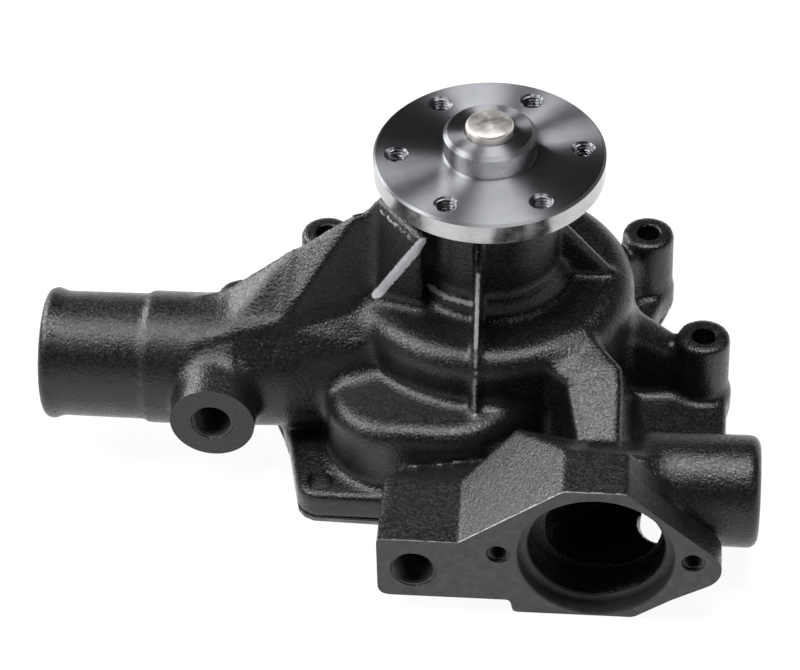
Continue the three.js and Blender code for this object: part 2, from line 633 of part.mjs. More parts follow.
const BALLS = 8;
[['rear', RACE_LOW_Z], ['front', RACE_HIGH_Z]].forEach(([row, z]) => {
  const rim = ring(11.6, 14.5, z + BALL_R + 0.6, z + BALL_R + 2);
  const fingers = [];
  for (let i = 0; i < BALLS; i += 1) {
    const [x, y] = polar(BALL_PITCH_R, 360 * i / BALLS);
    const ball = new THREE.SphereGeometry(BALL_R, 8, 6).translate(x, y, z);
    addPiece(`ball_${row}_${i + 1}`, 'bearing_steel', ball);
    const between = polar(BALL_PITCH_R, 360 * (i + 0.5) / BALLS);
    fingers.push(solid(rodZ(...between, z - 2.4, z + BALL_R + 1.3, 1.3, 1.3, 8)));
  }
  addPiece(`ball_cage_${row}`, 'cage_plastic', join([solid(rim), ...fingers]));
  const outward = row === 'rear' ? -1 : 1;
  const edge = row === 'rear' ? BEARING_FOOT + 0.6 : BEARING_TOP - 0.6;
  const lip = edge - outward * 1.6;
  addPiece(`bearing_seal_${row}`, 'rubber', ring(
    JOURNAL_R + GAP, RACE_BORE_R - 0.9, Math.min(edge, lip), Math.max(edge, lip)));
});

addPiece('water_slinger', 'rubber', turned([
  [INNER_SHAFT_R + 0.6, 58.3], [10.2, 58.3], [13.2, 59.4], [13.2, 60.4], [INNER_SHAFT_R + 1.2, 59.9],
  [INNER_SHAFT_R + 0.6, 58.3],
], 20));

// ---------------------------------------------------------------- face seal on the shaft

addPiece('seal_seat_boot', 'rubber', turned([
  [INNER_SHAFT_R + GAP, 28], [15.6, 28], [15.6, 34.4], [13.9, 34.4], [13.9, 30], [INNER_SHAFT_R + GAP, 30],
  [INNER_SHAFT_R + GAP, 28],
], 24));
addPiece('seal_ceramic_seat', 'ceramic', ring(INNER_SHAFT_R + GAP, 13.9 - GAP, 30.3, 35.4, 24));
addPiece('seal_carbon_ring', 'carbon', turned([
  [9.4, 35.7], [12, 35.7], [12.4, 37.4], [14, 37.4], [14, 40], [9.4, 40], [9.4, 35.7],
], 24));
addPiece('seal_bellows', 'rubber', turned([
  [9.2, 40.3], [13.2, 40.3], [13.2, 42], [11, 44], [12.6, 47], [11, 50], [15.6, 52.6],
  [15.6, 55], [9.2, 55], [10.2, 47], [9.2, 40.3],
], 24));
addPiece('seal_cup', 'brass', turned([
  [12, 55.4], [16.6, 55.4], [16.6, 42], [19.6, 42], [19.6, 43], [17.8, 43], [17.8, 56.6], [12, 56.6],
  [12, 55.4],
], 24));

/** Coil spring between the carbon ring's shoulder and the cup. */
class SpringCurve extends THREE.Curve {
  getPoint(t, target = new THREE.Vector3()) {
    const turn = 2 * Math.PI * 3 * t;
    return target.set(14.6 * Math.cos(turn), 14.6 * Math.sin(turn), 42.4 + 8.4 * t);
  }
}
const wire = new THREE.Shape(Array.from({ length: 6 }, (_, i) => new THREE.Vector2(
  0.8 * Math.cos(Math.PI * i / 3), 0.8 * Math.sin(Math.PI * i / 3))));
addPiece('seal_spring', 'bearing_steel', new THREE.ExtrudeGeometry(wire, {
  steps: 45, bevelEnabled: false, extrudePath: new SpringCurve(),
}));

export default pump;
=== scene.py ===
"""Looks of an engine coolant pump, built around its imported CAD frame.

Shapes are worked out in millimetres, in the frame's axes, and scaled by MM when a mesh is made.
The casting is a field of distances on a grid, so that its walls run into each other with real
fillets; its machined faces, bores and threads are then cut out of it.
"""

import math

import bmesh
import bpy
import numpy as np
from mathutils import Matrix, Vector
from mathutils.bvhtree import BVHTree


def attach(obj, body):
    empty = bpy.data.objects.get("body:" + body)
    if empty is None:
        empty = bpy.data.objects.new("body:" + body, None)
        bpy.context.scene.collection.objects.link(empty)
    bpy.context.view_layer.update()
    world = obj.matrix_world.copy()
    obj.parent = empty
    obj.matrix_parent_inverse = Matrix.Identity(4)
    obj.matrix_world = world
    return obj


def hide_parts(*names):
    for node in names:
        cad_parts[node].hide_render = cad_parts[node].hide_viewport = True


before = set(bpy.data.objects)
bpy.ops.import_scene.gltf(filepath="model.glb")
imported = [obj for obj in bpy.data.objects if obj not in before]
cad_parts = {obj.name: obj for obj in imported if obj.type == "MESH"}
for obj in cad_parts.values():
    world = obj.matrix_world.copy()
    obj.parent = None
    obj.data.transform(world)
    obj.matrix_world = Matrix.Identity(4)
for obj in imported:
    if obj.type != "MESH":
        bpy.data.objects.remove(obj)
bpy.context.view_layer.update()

MM = 0.001

# ---------------------------------------------------------------- driving dimensions, millimetres

GASKET_TOP = 2.4
FLANGE_TOP = 13
CHAMBER_TOP = 34
EYE_TOP = 38
BOSS_TOP = 38
LEDGE_TOP = 40
COLLAR_FOOT = 46
ROOF_UNDER = 54
SEAL_SEAT = 57.5
DRUM_TOP = 60
BEARING_FOOT = 64
BEARING_TOP = 97.7
TOWER_TOP = 98.5
HUB_REAR = 106
HUB_FRONT = 115
HUB_NOSE = 124.8
SHAFT_END = 128.3

SHAFT_R = 8.7
INNER_SHAFT_R = 8
JOURNAL_R = 10.6
RACE_R = 19
RACE_BORE_R = 16.5
BALL_R = 3.175
BALL_PITCH_R = 13
TOWER_R = 25.5
TOWER_FOOT_R = 29
DRUM_R = 54.5
CHAMBER_R = 47
SUCTION_R = 38
COLLAR_R = 23
EYE_R = 26
HUB_R = 42.5
HUB_NOSE_R = 17
HUB_HOLE_PITCH_R = 34
BALL_ROWS = {"rear": BEARING_FOOT + 9, "front": BEARING_TOP - 9}

ROOT_Z = -4  # where upright shapes start, before the foot is cut flat
BELOW_Z = -8  # where upward cuts start

BOSS_R = 10
BOLT_HOLE_R = 4.5
BOSSES = [(59, 50.6), (81.1, -9), (-66.5, 43.4), (-94.9, 4.2)]
EAR = (-58.5, -69.5)
EAR_R = 9
SCREW_PITCH_R = 57.5
SCREW_ANGLES = [12, 62, 112, 168, -58]
SCREW_HOLE_R = 2.8
SCREW_HOLE_TOP = 11.5

TUBE_Y = -31
TUBE_Z = 36
TUBE_AXIS = (TUBE_Y, TUBE_Z)
TUBE_R = 23.4
TUBE_STEP_R = 24.8
TUBE_BORE_R = 19.3
TUBE_END_X = -164.4
TUBE_STEP_X = -126
TUBE_ROOT_X = -97
# the gusset's sloping top: (back edge, front edge) stations from the tube to the tower
GUSSET = [
    ((-107, -24, 60), (-107, -45.4, 55.6)),
    ((-97, -22.6, 63), (-97, -43, 57.6)),
    ((-72, -15.5, 78), (-75, -37.6, 60.4)),
    ((-48, -8.7, 92), (-41.4, -20.3, 60.4)),
    ((-40.5, -6.5, 96.6), (-41.4, -20.3, 60.4)),
    ((-40, -6.4, 97), (-21.5, -29.7, 97)),
]
HEATER_X = -98
HEATER_FACE_Y = -66
HEATER_R = 15.5
HEATER_HOLE_R = 7.3
HEATER_AXIS = (HEATER_X, TUBE_Z)

FACE_Y = -119.6
FACE_THICK = 13
BORE_X = 44.6
BORE_Z = 29
BORE_R = 24.25
BORE_AXIS = (BORE_X, BORE_Z)
SEAT_R = 27.75
SEAT_DEEP = 5.5
ROOF_Z = 61
ROOF_BACK_Y = -97
COVER_BOLT_X = (10.2, 78.9)
COVER_BOLT_R = 3.4
SWITCH_X = -20
SWITCH_Z = 19.2
SWITCH_R = 7.6
SWITCH_AXIS = (SWITCH_X, SWITCH_Z)
PORT_TOP_Z = 33.7
PORT_FOOT_Z = 6
PORT_BACK_Y = -88
PORT_LEFT_X = -33
PORT_CORNER_R = 4
OUTLET = (72.5, -70)
OUTLET_R = 12.5
OUTLET_PAD_R = 20

STUB_Y = -84
STUB_Z = 30.6
STUB_R = 20.3
STUB_END_X = 102
STUB_BORE_R = 12
STUB_AXIS = (STUB_Y, STUB_Z)

# ---------------------------------------------------------------- the camera

AIM = (-31.5, -29.7, 50.5)
DISTANCE = 1149.1
AZIMUTH = 5.7
ELEVATION = 41.6
ROLL = -1.48
LENS = 139.5


def make_camera():
    """Long lens that looks at AIM from AZIMUTH and ELEVATION, with a slight ROLL."""
    az, el, roll = (math.radians(a) for a in (AZIMUTH, ELEVATION, ROLL))
    forward = Vector((-math.sin(az) * math.cos(el), math.cos(az) * math.cos(el), -math.sin(el)))
    level = Vector((math.cos(az), math.sin(az), 0))
    rise = level.cross(forward)
    right = math.cos(roll) * level + math.sin(roll) * rise
    up = math.cos(roll) * rise - math.sin(roll) * level
    data = bpy.data.cameras.new("camera")
    data.lens = LENS
    data.clip_end = 20  # metres, past the floor's far edge
    camera = bpy.data.objects.new("camera", data)
    place = Matrix((right, up, -forward)).transposed().to_4x4()
    place.translation = (Vector(AIM) - forward * DISTANCE) * MM
    camera.matrix_world = place
    bpy.context.collection.objects.link(camera)
    bpy.context.scene.camera = camera


# ---------------------------------------------------------------- fields of distance

CELL = 1.5
FIELD_LOW = (-177, -126, -5)
FIELD_HIGH = (107, 67, 104)
AXES = [np.arange(low, high + CELL, CELL) for low, high in zip(FIELD_LOW, FIELD_HIGH)]
FAR = 60.0
REACH = 14.0  # how far round a shape its distance is worked out


def window(low, high):
    """The part of the grid round a box, as slices and as the x, y and z of its points."""
    spans = []
    for axis, a, b in zip(AXES, low, high):
        first = int(np.searchsorted(axis, a - REACH))
        last = int(np.searchsorted(axis, b + REACH))
        spans.append(slice(max(first - 1, 0), min(last + 1, len(axis))))
    x, y, z = (axis[span] for axis, span in zip(AXES, spans))
    return tuple(spans), (x[:, None, None], y[None, :, None], z[None, None, :])


def joined(a, b, fillet=0.0):
    """Distance of two shapes joined with a round fillet."""
    if fillet <= 0:
        return np.minimum(a, b)
    corner = np.hypot(np.maximum(fillet - a, 0), np.maximum(fillet - b, 0))
    return np.maximum(fillet, np.minimum(a, b)) - corner


class Field:
    """Signed distance on the grid: negative inside the metal."""

    def __init__(self):
        self.value = np.full([len(axis) for axis in AXES], FAR, np.float32)

    def add(self, shape, fillet=0.0):
        low, high, distance = shape
        spans, points = window(low, high)
        self.value[spans] = joined(self.value[spans], distance(*points), fillet)

    def cut(self, shape):
        low, high, distance = shape
        spans, points = window(low, high)
        self.value[spans] = np.maximum(self.value[spans], -distance(*points))


def rim(side, end, radius):
    """Distance near the rim where a side wall meets an end, rounded to the radius."""
    a, b = side + radius, end + radius
    return np.minimum(np.maximum(a, b), 0) + np.hypot(np.maximum(a, 0), np.maximum(b, 0)) - radius


def outline_distance(corners, u, v):
    """Signed distance of the points (u, v) from a closed outline."""
    u, v = np.broadcast_arrays(u, v)
    nearest = np.full(u.shape, np.inf)
    inside = np.zeros(u.shape, bool)
    for (au, av), (bu, bv) in zip(corners, np.roll(corners, -1, axis=0)):
        du, dv = bu - au, bv - av
        along = np.clip(((u - au) * du + (v - av) * dv) / (du * du + dv * dv), 0, 1)
        nearest = np.minimum(nearest, (u - au - along * du) ** 2 + (v - av - along * dv) ** 2)
        if abs(dv) > 1e-9:
            inside ^= ((av <= v) != (bv <= v)) & (u < au + (v - av) * du / dv)
    return np.where(inside, -1, 1) * np.sqrt(nearest)


def circle(x, y, r, sides=48):
    """Points round a circle in a plane."""
    turn = np.linspace(0, 2 * math.pi, sides, endpoint=False)
    return np.column_stack([x + r * np.cos(turn), y + r * np.sin(turn)])


def around(discs):
    """Convex outline round discs given as (x, y, radius)."""
    points = sorted(map(tuple, np.vstack([circle(*disc) for disc in discs])))

    def chain(items):
        kept = []
        for p in items:
            while len(kept) > 1:
                (ax, ay), (bx, by) = kept[-2:]
                if (bx - ax) * (p[1] - ay) - (by - ay) * (p[0] - ax) > 1e-9:
                    break
                kept.pop()
            kept.append(p)
        return kept[:-1]

    return np.array(chain(points) + chain(points[::-1]))


def slab(foot, top, edge, *groups, fillet=0.0):
    """Upright shape on the joined outlines of groups of discs, with its top edge rounded."""
    outlines = [around(discs) for discs in groups]
    corners = np.vstack(outlines)

    def distance(x, y, z):
        flat = np.full(np.broadcast(x, y).shape, FAR)
        for outline in outlines:
            flat = joined(flat, outline_distance(outline, x, y), fillet)
        return np.maximum(rim(flat, z - top, edge), foot - z)

    return (*corners.min(0), foot), (*corners.max(0), top), distance


def rod(axis, centre, r, foot, top, foot_edge=0.0, top_edge=0.0, top_r=None):
    """Cylinder, or slight cone, along an axis; its centre is given by the two other coordinates."""
    others = [i for i in range(3) if i != axis]
    reach = max(r, top_r or r)
    low = [0, 0, 0]
    high = [0, 0, 0]
    low[axis], high[axis] = foot, top
    for i, c in zip(others, centre):
        low[i], high[i] = c - reach, c + reach

    def distance(*point):
        along = point[axis]
        radius = r + ((top_r or r) - r) * np.clip((along - foot) / (top - foot), 0, 1)
        side = np.hypot(point[others[0]] - centre[0], point[others[1]] - centre[1]) - radius
        return np.maximum(rim(side, along - top, top_edge), rim(side, foot - along, foot_edge))

    return low, high, distance


def convex_mesh(points):
    """Convex hull of points as a mesh with outward normals."""
    mesh = bmesh.new()
    for point in points:
        mesh.verts.new(point)
    bmesh.ops.convex_hull(mesh, input=mesh.verts)
    bmesh.ops.delete(mesh, geom=[v for v in mesh.verts if not v.link_faces], context="VERTS")
    bmesh.ops.recalc_face_normals(mesh, faces=mesh.faces)
    mesh.normal_update()
    return mesh


def hull(edge, *groups):
    """Convex shape around points, with its edges rounded to a radius."""
    points = np.vstack([np.atleast_2d(np.array(group, float)) for group in groups])
    sharp = convex_mesh(points)
    drawn_in = []
    for vert in sharp.verts:
        normals = np.array([face.normal[:] for face in vert.link_faces])
        step = np.linalg.lstsq(normals, np.full(len(normals), -edge), rcond=0.05)[0]
        drawn_in.append(np.array(vert.co) + step)
    sharp.free()
    core = convex_mesh(drawn_in)
    tree = BVHTree.FromBMesh(core)
    planes = [(np.array(face.normal[:]), face.normal.dot(face.verts[0].co)) for face in core.faces]
    core.free()

    def distance(x, y, z):
        out = np.full(np.broadcast(x, y, z).shape, -FAR)
        for (a, b, c), offset in planes:
            out = np.maximum(out, a * x + b * y + c * z - offset)
        near = (out > 0) & (out < REACH)
        spots = [axis[near] for axis in np.broadcast_arrays(x, y, z)]
        out[near] = [tree.find_nearest(spot)[3] for spot in zip(*spots)]
        return out - edge

    return points.min(0), points.max(0), distance


def circle_x(x, y, z, r):
    """Points of a circle about a line along X; circle_y and circle_z likewise."""
    return [(x, p, q) for p, q in circle(y, z, r)]


def circle_y(x, y, z, r):
    return [(p, y, q) for p, q in circle(x, z, r)]


def circle_z(x, y, z, r):
    return [(p, q, z) for p, q in circle(x, y, r)]


# ---------------------------------------------------------------- a surface out of a field


def settle(value):
    """Nudges corners until no cell of the grid holds a pinched surface."""
    nudge = 0.03 * CELL
    for _ in range(40):
        count = 0
        for u, v in ((0, 1), (1, 2), (0, 2)):
            cut = [slice(None)] * 3

            def corner(du, dv):
                spans = list(cut)
                spans[u] = slice(1, None) if du else slice(None, -1)
                spans[v] = slice(1, None) if dv else slice(None, -1)
                return tuple(spans)

            a, b, c, d = (value[corner(*o)] < 0 for o in ((0, 0), (1, 0), (1, 1), (0, 1)))
            for pair, split in (((0, 0), (a == c) & (b == d) & (a != b) & ~a),
                                ((1, 0), (a == c) & (b == d) & (a != b) & a)):
                value[corner(*pair)][split] = -nudge
                count += int(split.sum())
        inside = value < 0
        nx, ny, nz = (n - 1 for n in inside.shape)
        cells = [inside[i:nx + i, j:ny + j, k:nz + k]
                 for i in (0, 1) for j in (0, 1) for k in (0, 1)]
        total = sum(c.astype(np.int8) for c in cells)
        for first in range(4):
            low, high = cells[first], cells[7 - first]
            lone = (total == 2) & low & high
            hole = (total == 6) & ~low & ~high
            for spots, sign in ((lone, 1), (hole, -1)):
                at = np.argwhere(spots)
                if len(at):
                    at = at + [(first >> 2) & 1, (first >> 1) & 1, first & 1]
                    value[tuple(at.T)] = sign * nudge
                    count += len(at)
        if not count:
            return


def sampled(values, points):
    """Values of grids at points that are given in cells, by linear mixing."""
    base = np.floor(points).astype(int)
    base = np.clip(base, 0, np.array(values[0].shape) - 2)
    part = points - base
    mixed = [np.zeros(len(points)) for _ in values]
    for i in (0, 1):
        for j in (0, 1):
            for k in (0, 1):
                share = np.prod(np.where([i, j, k], part, 1 - part), axis=1)
                spot = tuple((base + [i, j, k]).T)
                for out, value in zip(mixed, values):
                    out += share * value[spot]
    return mixed


def surface(value):
    """Closed quad surface of the field's zero level, as corners in millimetres and faces."""
    settle(value)
    cells = np.array(value.shape) - 1
    size = int(np.prod(cells))
    count = np.zeros(size)
    total = np.zeros((3, size))
    quads = []
    for axis in range(3):
        u, v = (axis + 1) % 3, (axis + 2) % 3
        low = [slice(None)] * 3
        high = [slice(None)] * 3
        low[axis], high[axis] = slice(None, -1), slice(1, None)
        a, b = value[tuple(low)], value[tuple(high)]
        at = np.argwhere((a < 0) != (b < 0))
        start, end = a[tuple(at.T)], b[tuple(at.T)]
        spot = at.astype(float)
        spot[:, axis] += start / (start - end)
        ring = []
        for du, dv in ((1, 1), (0, 1), (0, 0), (1, 0)):
            cell = at.copy()
            cell[:, u] -= du
            cell[:, v] -= dv
            flat = np.ravel_multi_index(tuple(cell.T), cells)
            ring.append(flat)
            count += np.bincount(flat, minlength=size)
            for i in range(3):
                total[i] += np.bincount(flat, spot[:, i], minlength=size)
        ring = np.column_stack(ring)
        ring[start >= 0] = ring[start >= 0][:, ::-1]
        quads.append(ring)
    used = np.flatnonzero(count)
    number = np.full(size, -1)
    number[used] = np.arange(len(used))
    corners = (total[:, used] / count[used]).T
    slopes = np.gradient(value)
    for _ in range(4):
        gap, *lean = sampled([value, *slopes], corners)
        lean = np.column_stack(lean)
        step = gap[:, None] * lean / np.maximum((lean ** 2).sum(1), 0.05)[:, None]
        corners -= np.clip(step, -0.35, 0.35)
    return corners * CELL + [axis[0] for axis in AXES], number[np.vstack(quads)]


# ---------------------------------------------------------------- the casting


def flange(foot, top, edge):
    """The mounting flange, as the joined outlines of its bosses and the drum."""
    right_back, right, left_back, left = [(x, y, BOSS_R) for x, y in BOSSES]
    return slab(
        foot, top, edge,
        [(0, 0, 62)],
        [(8, 6, 44), right_back],
        [(16, -6, 40), right],
        [(-10, 6, 44), left_back],
        [(-34, -4, 32), left, (-76, -14, 9)],
        [(-40, -20, 20), (-76, -14, 9), (-62, -36, 13)],
        [(-12, -46, 30.5), (-33, -50, 29), (*EAR, EAR_R), (-60, -40, 14)],
        [(30, -26, 30), right, (72.5, -56, 18)],
        fillet=4,
    )


def pump_side():
    """Flange, drum, tower, scroll, ribs and bolt bosses."""
    field = Field()
    field.add(flange(ROOT_Z, FLANGE_TOP, 2.5))
    field.add(rod(2, (0, 0), DRUM_R, ROOT_Z, DRUM_TOP, top_edge=9.5), 5)
    field.add(slab(ROOT_Z, LEDGE_TOP, 8, [(-12, -46, 27.5), (-31, -47, 26.5), (-4, -8, 46)]), 4.5)
    field.add(rod(2, (0, 0), TOWER_FOOT_R, 50, DRUM_TOP + 6, top_edge=2.5), 5)
    field.add(rod(2, (0, 0), TOWER_R + 0.6, 50, TOWER_TOP, top_edge=1.2), 4)
    for x, y in BOSSES:
        near, far = (0.85 * x, 0.85 * y), (0.5 * x, 0.5 * y)
        field.add(hull(
            4, circle_z(*near, ROOT_Z, 7), circle_z(*near, BOSS_TOP - 8, 6),
            circle_z(*far, ROOT_Z, 12), circle_z(*far, BOSS_TOP + 8, 10)), 4)
        field.add(rod(2, (x, y), BOSS_R + 0.5, ROOT_Z, BOSS_TOP, top_edge=2, top_r=BOSS_R), 3)
    rib = [(-10, 96), (-32, 94), (-36, 88), (-61, LEDGE_TOP), (-68, 20), (-10, 20)]
    field.add(hull(1.3, [(x, y, z) for x in (-3.4, -0.9) for y, z in rib]), 2)
    fin = [(10, 94), (27, 84), (47, DRUM_TOP), (47, 50), (10, 50)]
    field.add(hull(2, [(x, y, z) for y in (-2.3, 2.3) for x, z in fin]), 2)
    return field


def inlet_side():
    """Hose tube with its bead and step, duct and gusset up to the tower, heater boss."""
    field = Field()
    field.add(rod(0, TUBE_AXIS, TUBE_R, TUBE_END_X + 0.6, TUBE_ROOT_X, 2, top_r=TUBE_R + 0.4))
    field.add(rod(0, TUBE_AXIS, TUBE_R + 1.2, TUBE_END_X + 0.2, TUBE_END_X + 5.6, 3, 2.6), 2)
    field.add(rod(0, TUBE_AXIS, TUBE_STEP_R, TUBE_STEP_X, TUBE_ROOT_X + 6, foot_edge=0.8))
    field.add(hull(
        4,
        circle_x(TUBE_ROOT_X - 4, TUBE_Y, TUBE_Z, TUBE_STEP_R + 0.1),
        circle_x(-72, -30, 34, 23),
        [(-75, -37.6, DRUM_TOP), (-41.4, -20.3, DRUM_TOP), (-44, -36, 50), (-42, -41, 38),
         (-42, -42, 20), (-30, 20, 20), (-46, 12, DRUM_TOP)],
    ))
    for stations in zip(GUSSET, GUSSET[1:]):
        points = []
        for back, front in stations:
            points += [back, front, (back[0], back[1] + 14, 45), (front[0], front[1] + 6, 40)]
        field.add(hull(1.2, points), 3)
    field.add(hull(1.4, GUSSET[-1], [
        (-15, -10, 97), (-15, 12, 97), (-36, 4, 92), (-46, 12, DRUM_TOP - 1),
        (-15, -8, DRUM_TOP - 1), (-41.4, -20.3, DRUM_TOP - 1)]), 1)
    field.add(rod(
        1, HEATER_AXIS, HEATER_R, HEATER_FACE_Y - 3, TUBE_Y, top_r=HEATER_R + 1.5), 3)
    return field


def port_corner(x, z):
    """Distance outside the port block's rounded lower left corner."""
    u = x - PORT_LEFT_X - PORT_CORNER_R
    v = np.minimum(z - PORT_FOOT_Z - PORT_CORNER_R, 0)
    return np.where(u < 0, np.hypot(u, v) - PORT_CORNER_R, -FAR)


def housing_side():
    """Thermostat housing with its face, slanted shoulder, port block, outlet pad and stub."""
    ear = [(COVER_BOLT_X[1] + 0.6 + 9.5 * math.cos(turn), 25.5 + 9.5 * math.sin(turn))
           for turn in np.radians(np.linspace(50, -60, 14))]
    outline = np.array([
        (PORT_LEFT_X, PORT_FOOT_Z), (PORT_LEFT_X, PORT_TOP_Z), (-3.9, PORT_TOP_Z), (32.6, ROOF_Z),
        (54.5, ROOF_Z), *ear, (72, 9.8), (58.6, 0), (15.5, 0), (14.5, PORT_FOOT_Z)])

    def face_plate(x, y, z):
        flat = np.maximum(outline_distance(outline, x, z), port_corner(x, z))
        return np.maximum(rim(flat, y - FACE_Y - FACE_THICK, 2), FACE_Y - 3 - y)

    front = FACE_Y + 2
    field = Field()
    field.add(((PORT_LEFT_X, FACE_Y - 3, 0), (90, FACE_Y + FACE_THICK, ROOF_Z), face_plate))
    field.add(hull(
        1.2, circle_y(BORE_X, front, BORE_Z, 29), circle_y(BORE_X, ROOF_BACK_Y, BORE_Z, 29),
        [(x, y, ROOF_Z) for x in (32.6, 54.5) for y in (front, ROOF_BACK_Y)]))
    field.add(hull(1, [
        (-3.9, front, PORT_TOP_Z), (32.6, front, ROOF_Z), (32.6, ROOF_BACK_Y, ROOF_Z),
        (14.3, -74, 47.4), (-4.5, -86.5, PORT_TOP_Z), (-3.9, front, PORT_FOOT_Z),
        (-4, -76, PORT_FOOT_Z), (14, -68, PORT_FOOT_Z), (40, -72, PORT_FOOT_Z), (40, -84, 52),
        (40, front, PORT_FOOT_Z)]))
    low, high, block = hull(1, [
        (PORT_LEFT_X, front, PORT_FOOT_Z), (PORT_LEFT_X, front, PORT_TOP_Z),
        (PORT_LEFT_X, PORT_BACK_Y, PORT_TOP_Z), (PORT_LEFT_X + 3, -78, PORT_FOOT_Z),
        (20, front, PORT_FOOT_Z), (20, front, PORT_TOP_Z), (20, PORT_BACK_Y, PORT_TOP_Z),
        (-25, -70, PORT_FOOT_Z), (-25, -72, 24), (20, -66, PORT_FOOT_Z), (20, -68, 28)])
    field.add((low, high, lambda x, y, z: np.maximum(block(x, y, z), port_corner(x, z))))
    field.add(hull(
        4, circle_y(BORE_X, ROOF_BACK_Y + 1, BORE_Z, 29), circle_z(*OUTLET, -6, OUTLET_PAD_R),
        circle_z(*OUTLET, 24, OUTLET_PAD_R - 2), circle_z(42, -74, -6, 18),
        circle_z(44, -78, 34, 14)), 2)
    field.add(rod(
        0, STUB_AXIS, STUB_R - 0.4, 60, STUB_END_X - 0.1, top_edge=4, top_r=STUB_R), 4)
    return field


def bridge():
    """The ramp from the drum down to the housing."""
    field = Field()
    foot = GASKET_TOP
    field.add(hull(2.5, [
        (14, -40, 57), (30.6, -53.4, 53), (37, -31, 59), (51, -47.9, 55), (47, -56, 51.5),
        (56, -18, FLANGE_TOP), (20, -20, foot), (58, -30, foot), (56, -54, foot), (28, -52, foot),
        (14, -44, foot)]))
    field.add(hull(2.5, [
        (30.6, -53.4, 53), (51, -47.9, 55), (51.5, -84, 41), (38.2, -84, 41), (36, -63, 48.5),
        (59, -40, foot), (58, -84, FLANGE_TOP), (36, -84, FLANGE_TOP), (28, -54, foot)]), 0.8)
    return field


def hollows(field):
    """Cast hollows: the impeller chamber and scroll, suction way and thermostat chamber."""
    field.cut(rod(2, (0, 0), CHAMBER_R, BELOW_Z, CHAMBER_TOP, top_edge=1))
    field.cut(slab(BELOW_Z, 32, 4, [(-12, -46, 18.5), (-31, -47, 18), (-6, -12, 40)]))
    field.cut(slab(BELOW_Z, 18.5, 4, [(-50, -28, 14), (-31, -47, 18), (-20, -20, 20)]))
    field.cut(rod(2, (0, 0), EYE_R, CHAMBER_TOP - 4, EYE_TOP + 4))
    low, high, ring_outer = rod(2, (0, 0), SUCTION_R, EYE_TOP, ROOF_UNDER, 2, 2)
    collar = rod(2, (0, 0), COLLAR_R, COLLAR_FOOT, ROOF_UNDER + 20, foot_edge=2)[2]
    field.cut((low, high, lambda *p: np.maximum(ring_outer(*p), -collar(*p))))
    low, high, way = hull(
        3, circle_x(-73, TUBE_Y, TUBE_Z, 17),
        [(-36, y, z) for y in (-28, -4) for z in (EYE_TOP + 0.5, ROOF_UNDER)],
        [(-20, y, z) for y in (-24, 4) for z in (EYE_TOP + 0.5, ROOF_UNDER)])
    field.cut((low, high, lambda *p: np.maximum(way(*p), -collar(*p))))
    field.cut(rod(0, TUBE_AXIS, TUBE_BORE_R, TUBE_END_X - 10, -71, top_r=17.5))
    field.cut(hull(
        4, circle_y(BORE_X, ROOF_BACK_Y - 6, BORE_Z, BORE_R - 2.5),
        circle_z(*OUTLET, 6, OUTLET_R), circle_z(*OUTLET, 20, OUTLET_R - 1),
        circle_z(46, -78, 6, 10), circle_z(46, -80, 28, 8)))
    # the slanted way from the thermostat chamber down to the outlet
    field.cut(hull(1, circle_z(69.8, -71.2, -2, 9.5), circle_z(65, -92, 20, 8.5)))


def casting_field():
    """The whole casting, before its machined faces and bores are cut."""
    z = AXES[2][None, None, :]
    whole = pump_side()
    ramp = bridge()
    housing = housing_side()
    inlet = inlet_side()
    whole.value = joined(whole.value, ramp.value, 3)
    whole.value = joined(whole.value, housing.value, 2)
    whole.value = joined(whole.value, inlet.value, 5)
    hollows(whole)
    foot = np.minimum(GASKET_TOP - z, np.maximum(housing.value, -3 - z))
    return np.maximum(whole.value, foot)


# ---------------------------------------------------------------- meshes


def make_object(name, corners, faces):
    """Mesh object out of corners in millimetres and faces."""
    if isinstance(faces, np.ndarray):
        faces = faces.tolist()
    mesh = bpy.data.meshes.new(name)
    mesh.from_pydata((np.asarray(corners, float) * MM).tolist(), [], faces)
    mesh.validate()
    mesh.update()
    made = bpy.data.objects.new(name, mesh)
    bpy.context.collection.objects.link(made)
    return made


def placed(points, axis, centre):
    """Points about the Z axis, moved to an axis through a centre of two coordinates."""
    points = np.asarray(points, float)
    others = [i for i in range(3) if i != axis]
    out = np.empty_like(points)
    out[:, axis] = points[:, 2]
    out[:, others[0]] = points[:, 0] + centre[0]
    out[:, others[1]] = points[:, 1] + centre[1]
    return out


def turned(name, profile, sides=96, axis=2, centre=(0, 0), wave=None):
    """Turned solid. The profile's (radius, height) points run from axis to axis or in a loop.

    wave(turn, radius, height) can add to the radius.
    """
    closed = profile[0][0] > 0 or profile[-1][0] > 0
    rows = profile[:-1] if closed and profile[0] == profile[-1] else profile
    corners, index = [], []
    for r, h in rows:
        if r <= 0:
            index.append([len(corners)] * sides)
            corners.append((0, 0, h))
            continue
        index.append(list(range(len(corners), len(corners) + sides)))
        for i in range(sides):
            turn = 2 * math.pi * i / sides
            reach = r + (wave(turn, r, h) if wave else 0)
            corners.append((reach * math.cos(turn), reach * math.sin(turn), h))
    faces = []
    loops = zip(index, index[1:] + index[:1]) if closed else zip(index, index[1:])
    for a, b in loops:
        for i in range(sides):
            j = (i + 1) % sides
            ring = [a[i], a[j], b[j], b[i]]
            face = [v for k, v in enumerate(ring) if v != ring[k - 1]]
            if len(face) > 2:
                faces.append(face)
    made = make_object(name, placed(corners, axis, centre), faces)
    outward(made)
    return made


def outward(made):
    """Turns all faces outwards."""
    mesh = bmesh.new()
    mesh.from_mesh(made.data)
    bmesh.ops.recalc_face_normals(mesh, faces=mesh.faces)
    mesh.to_mesh(made.data)
    mesh.free()


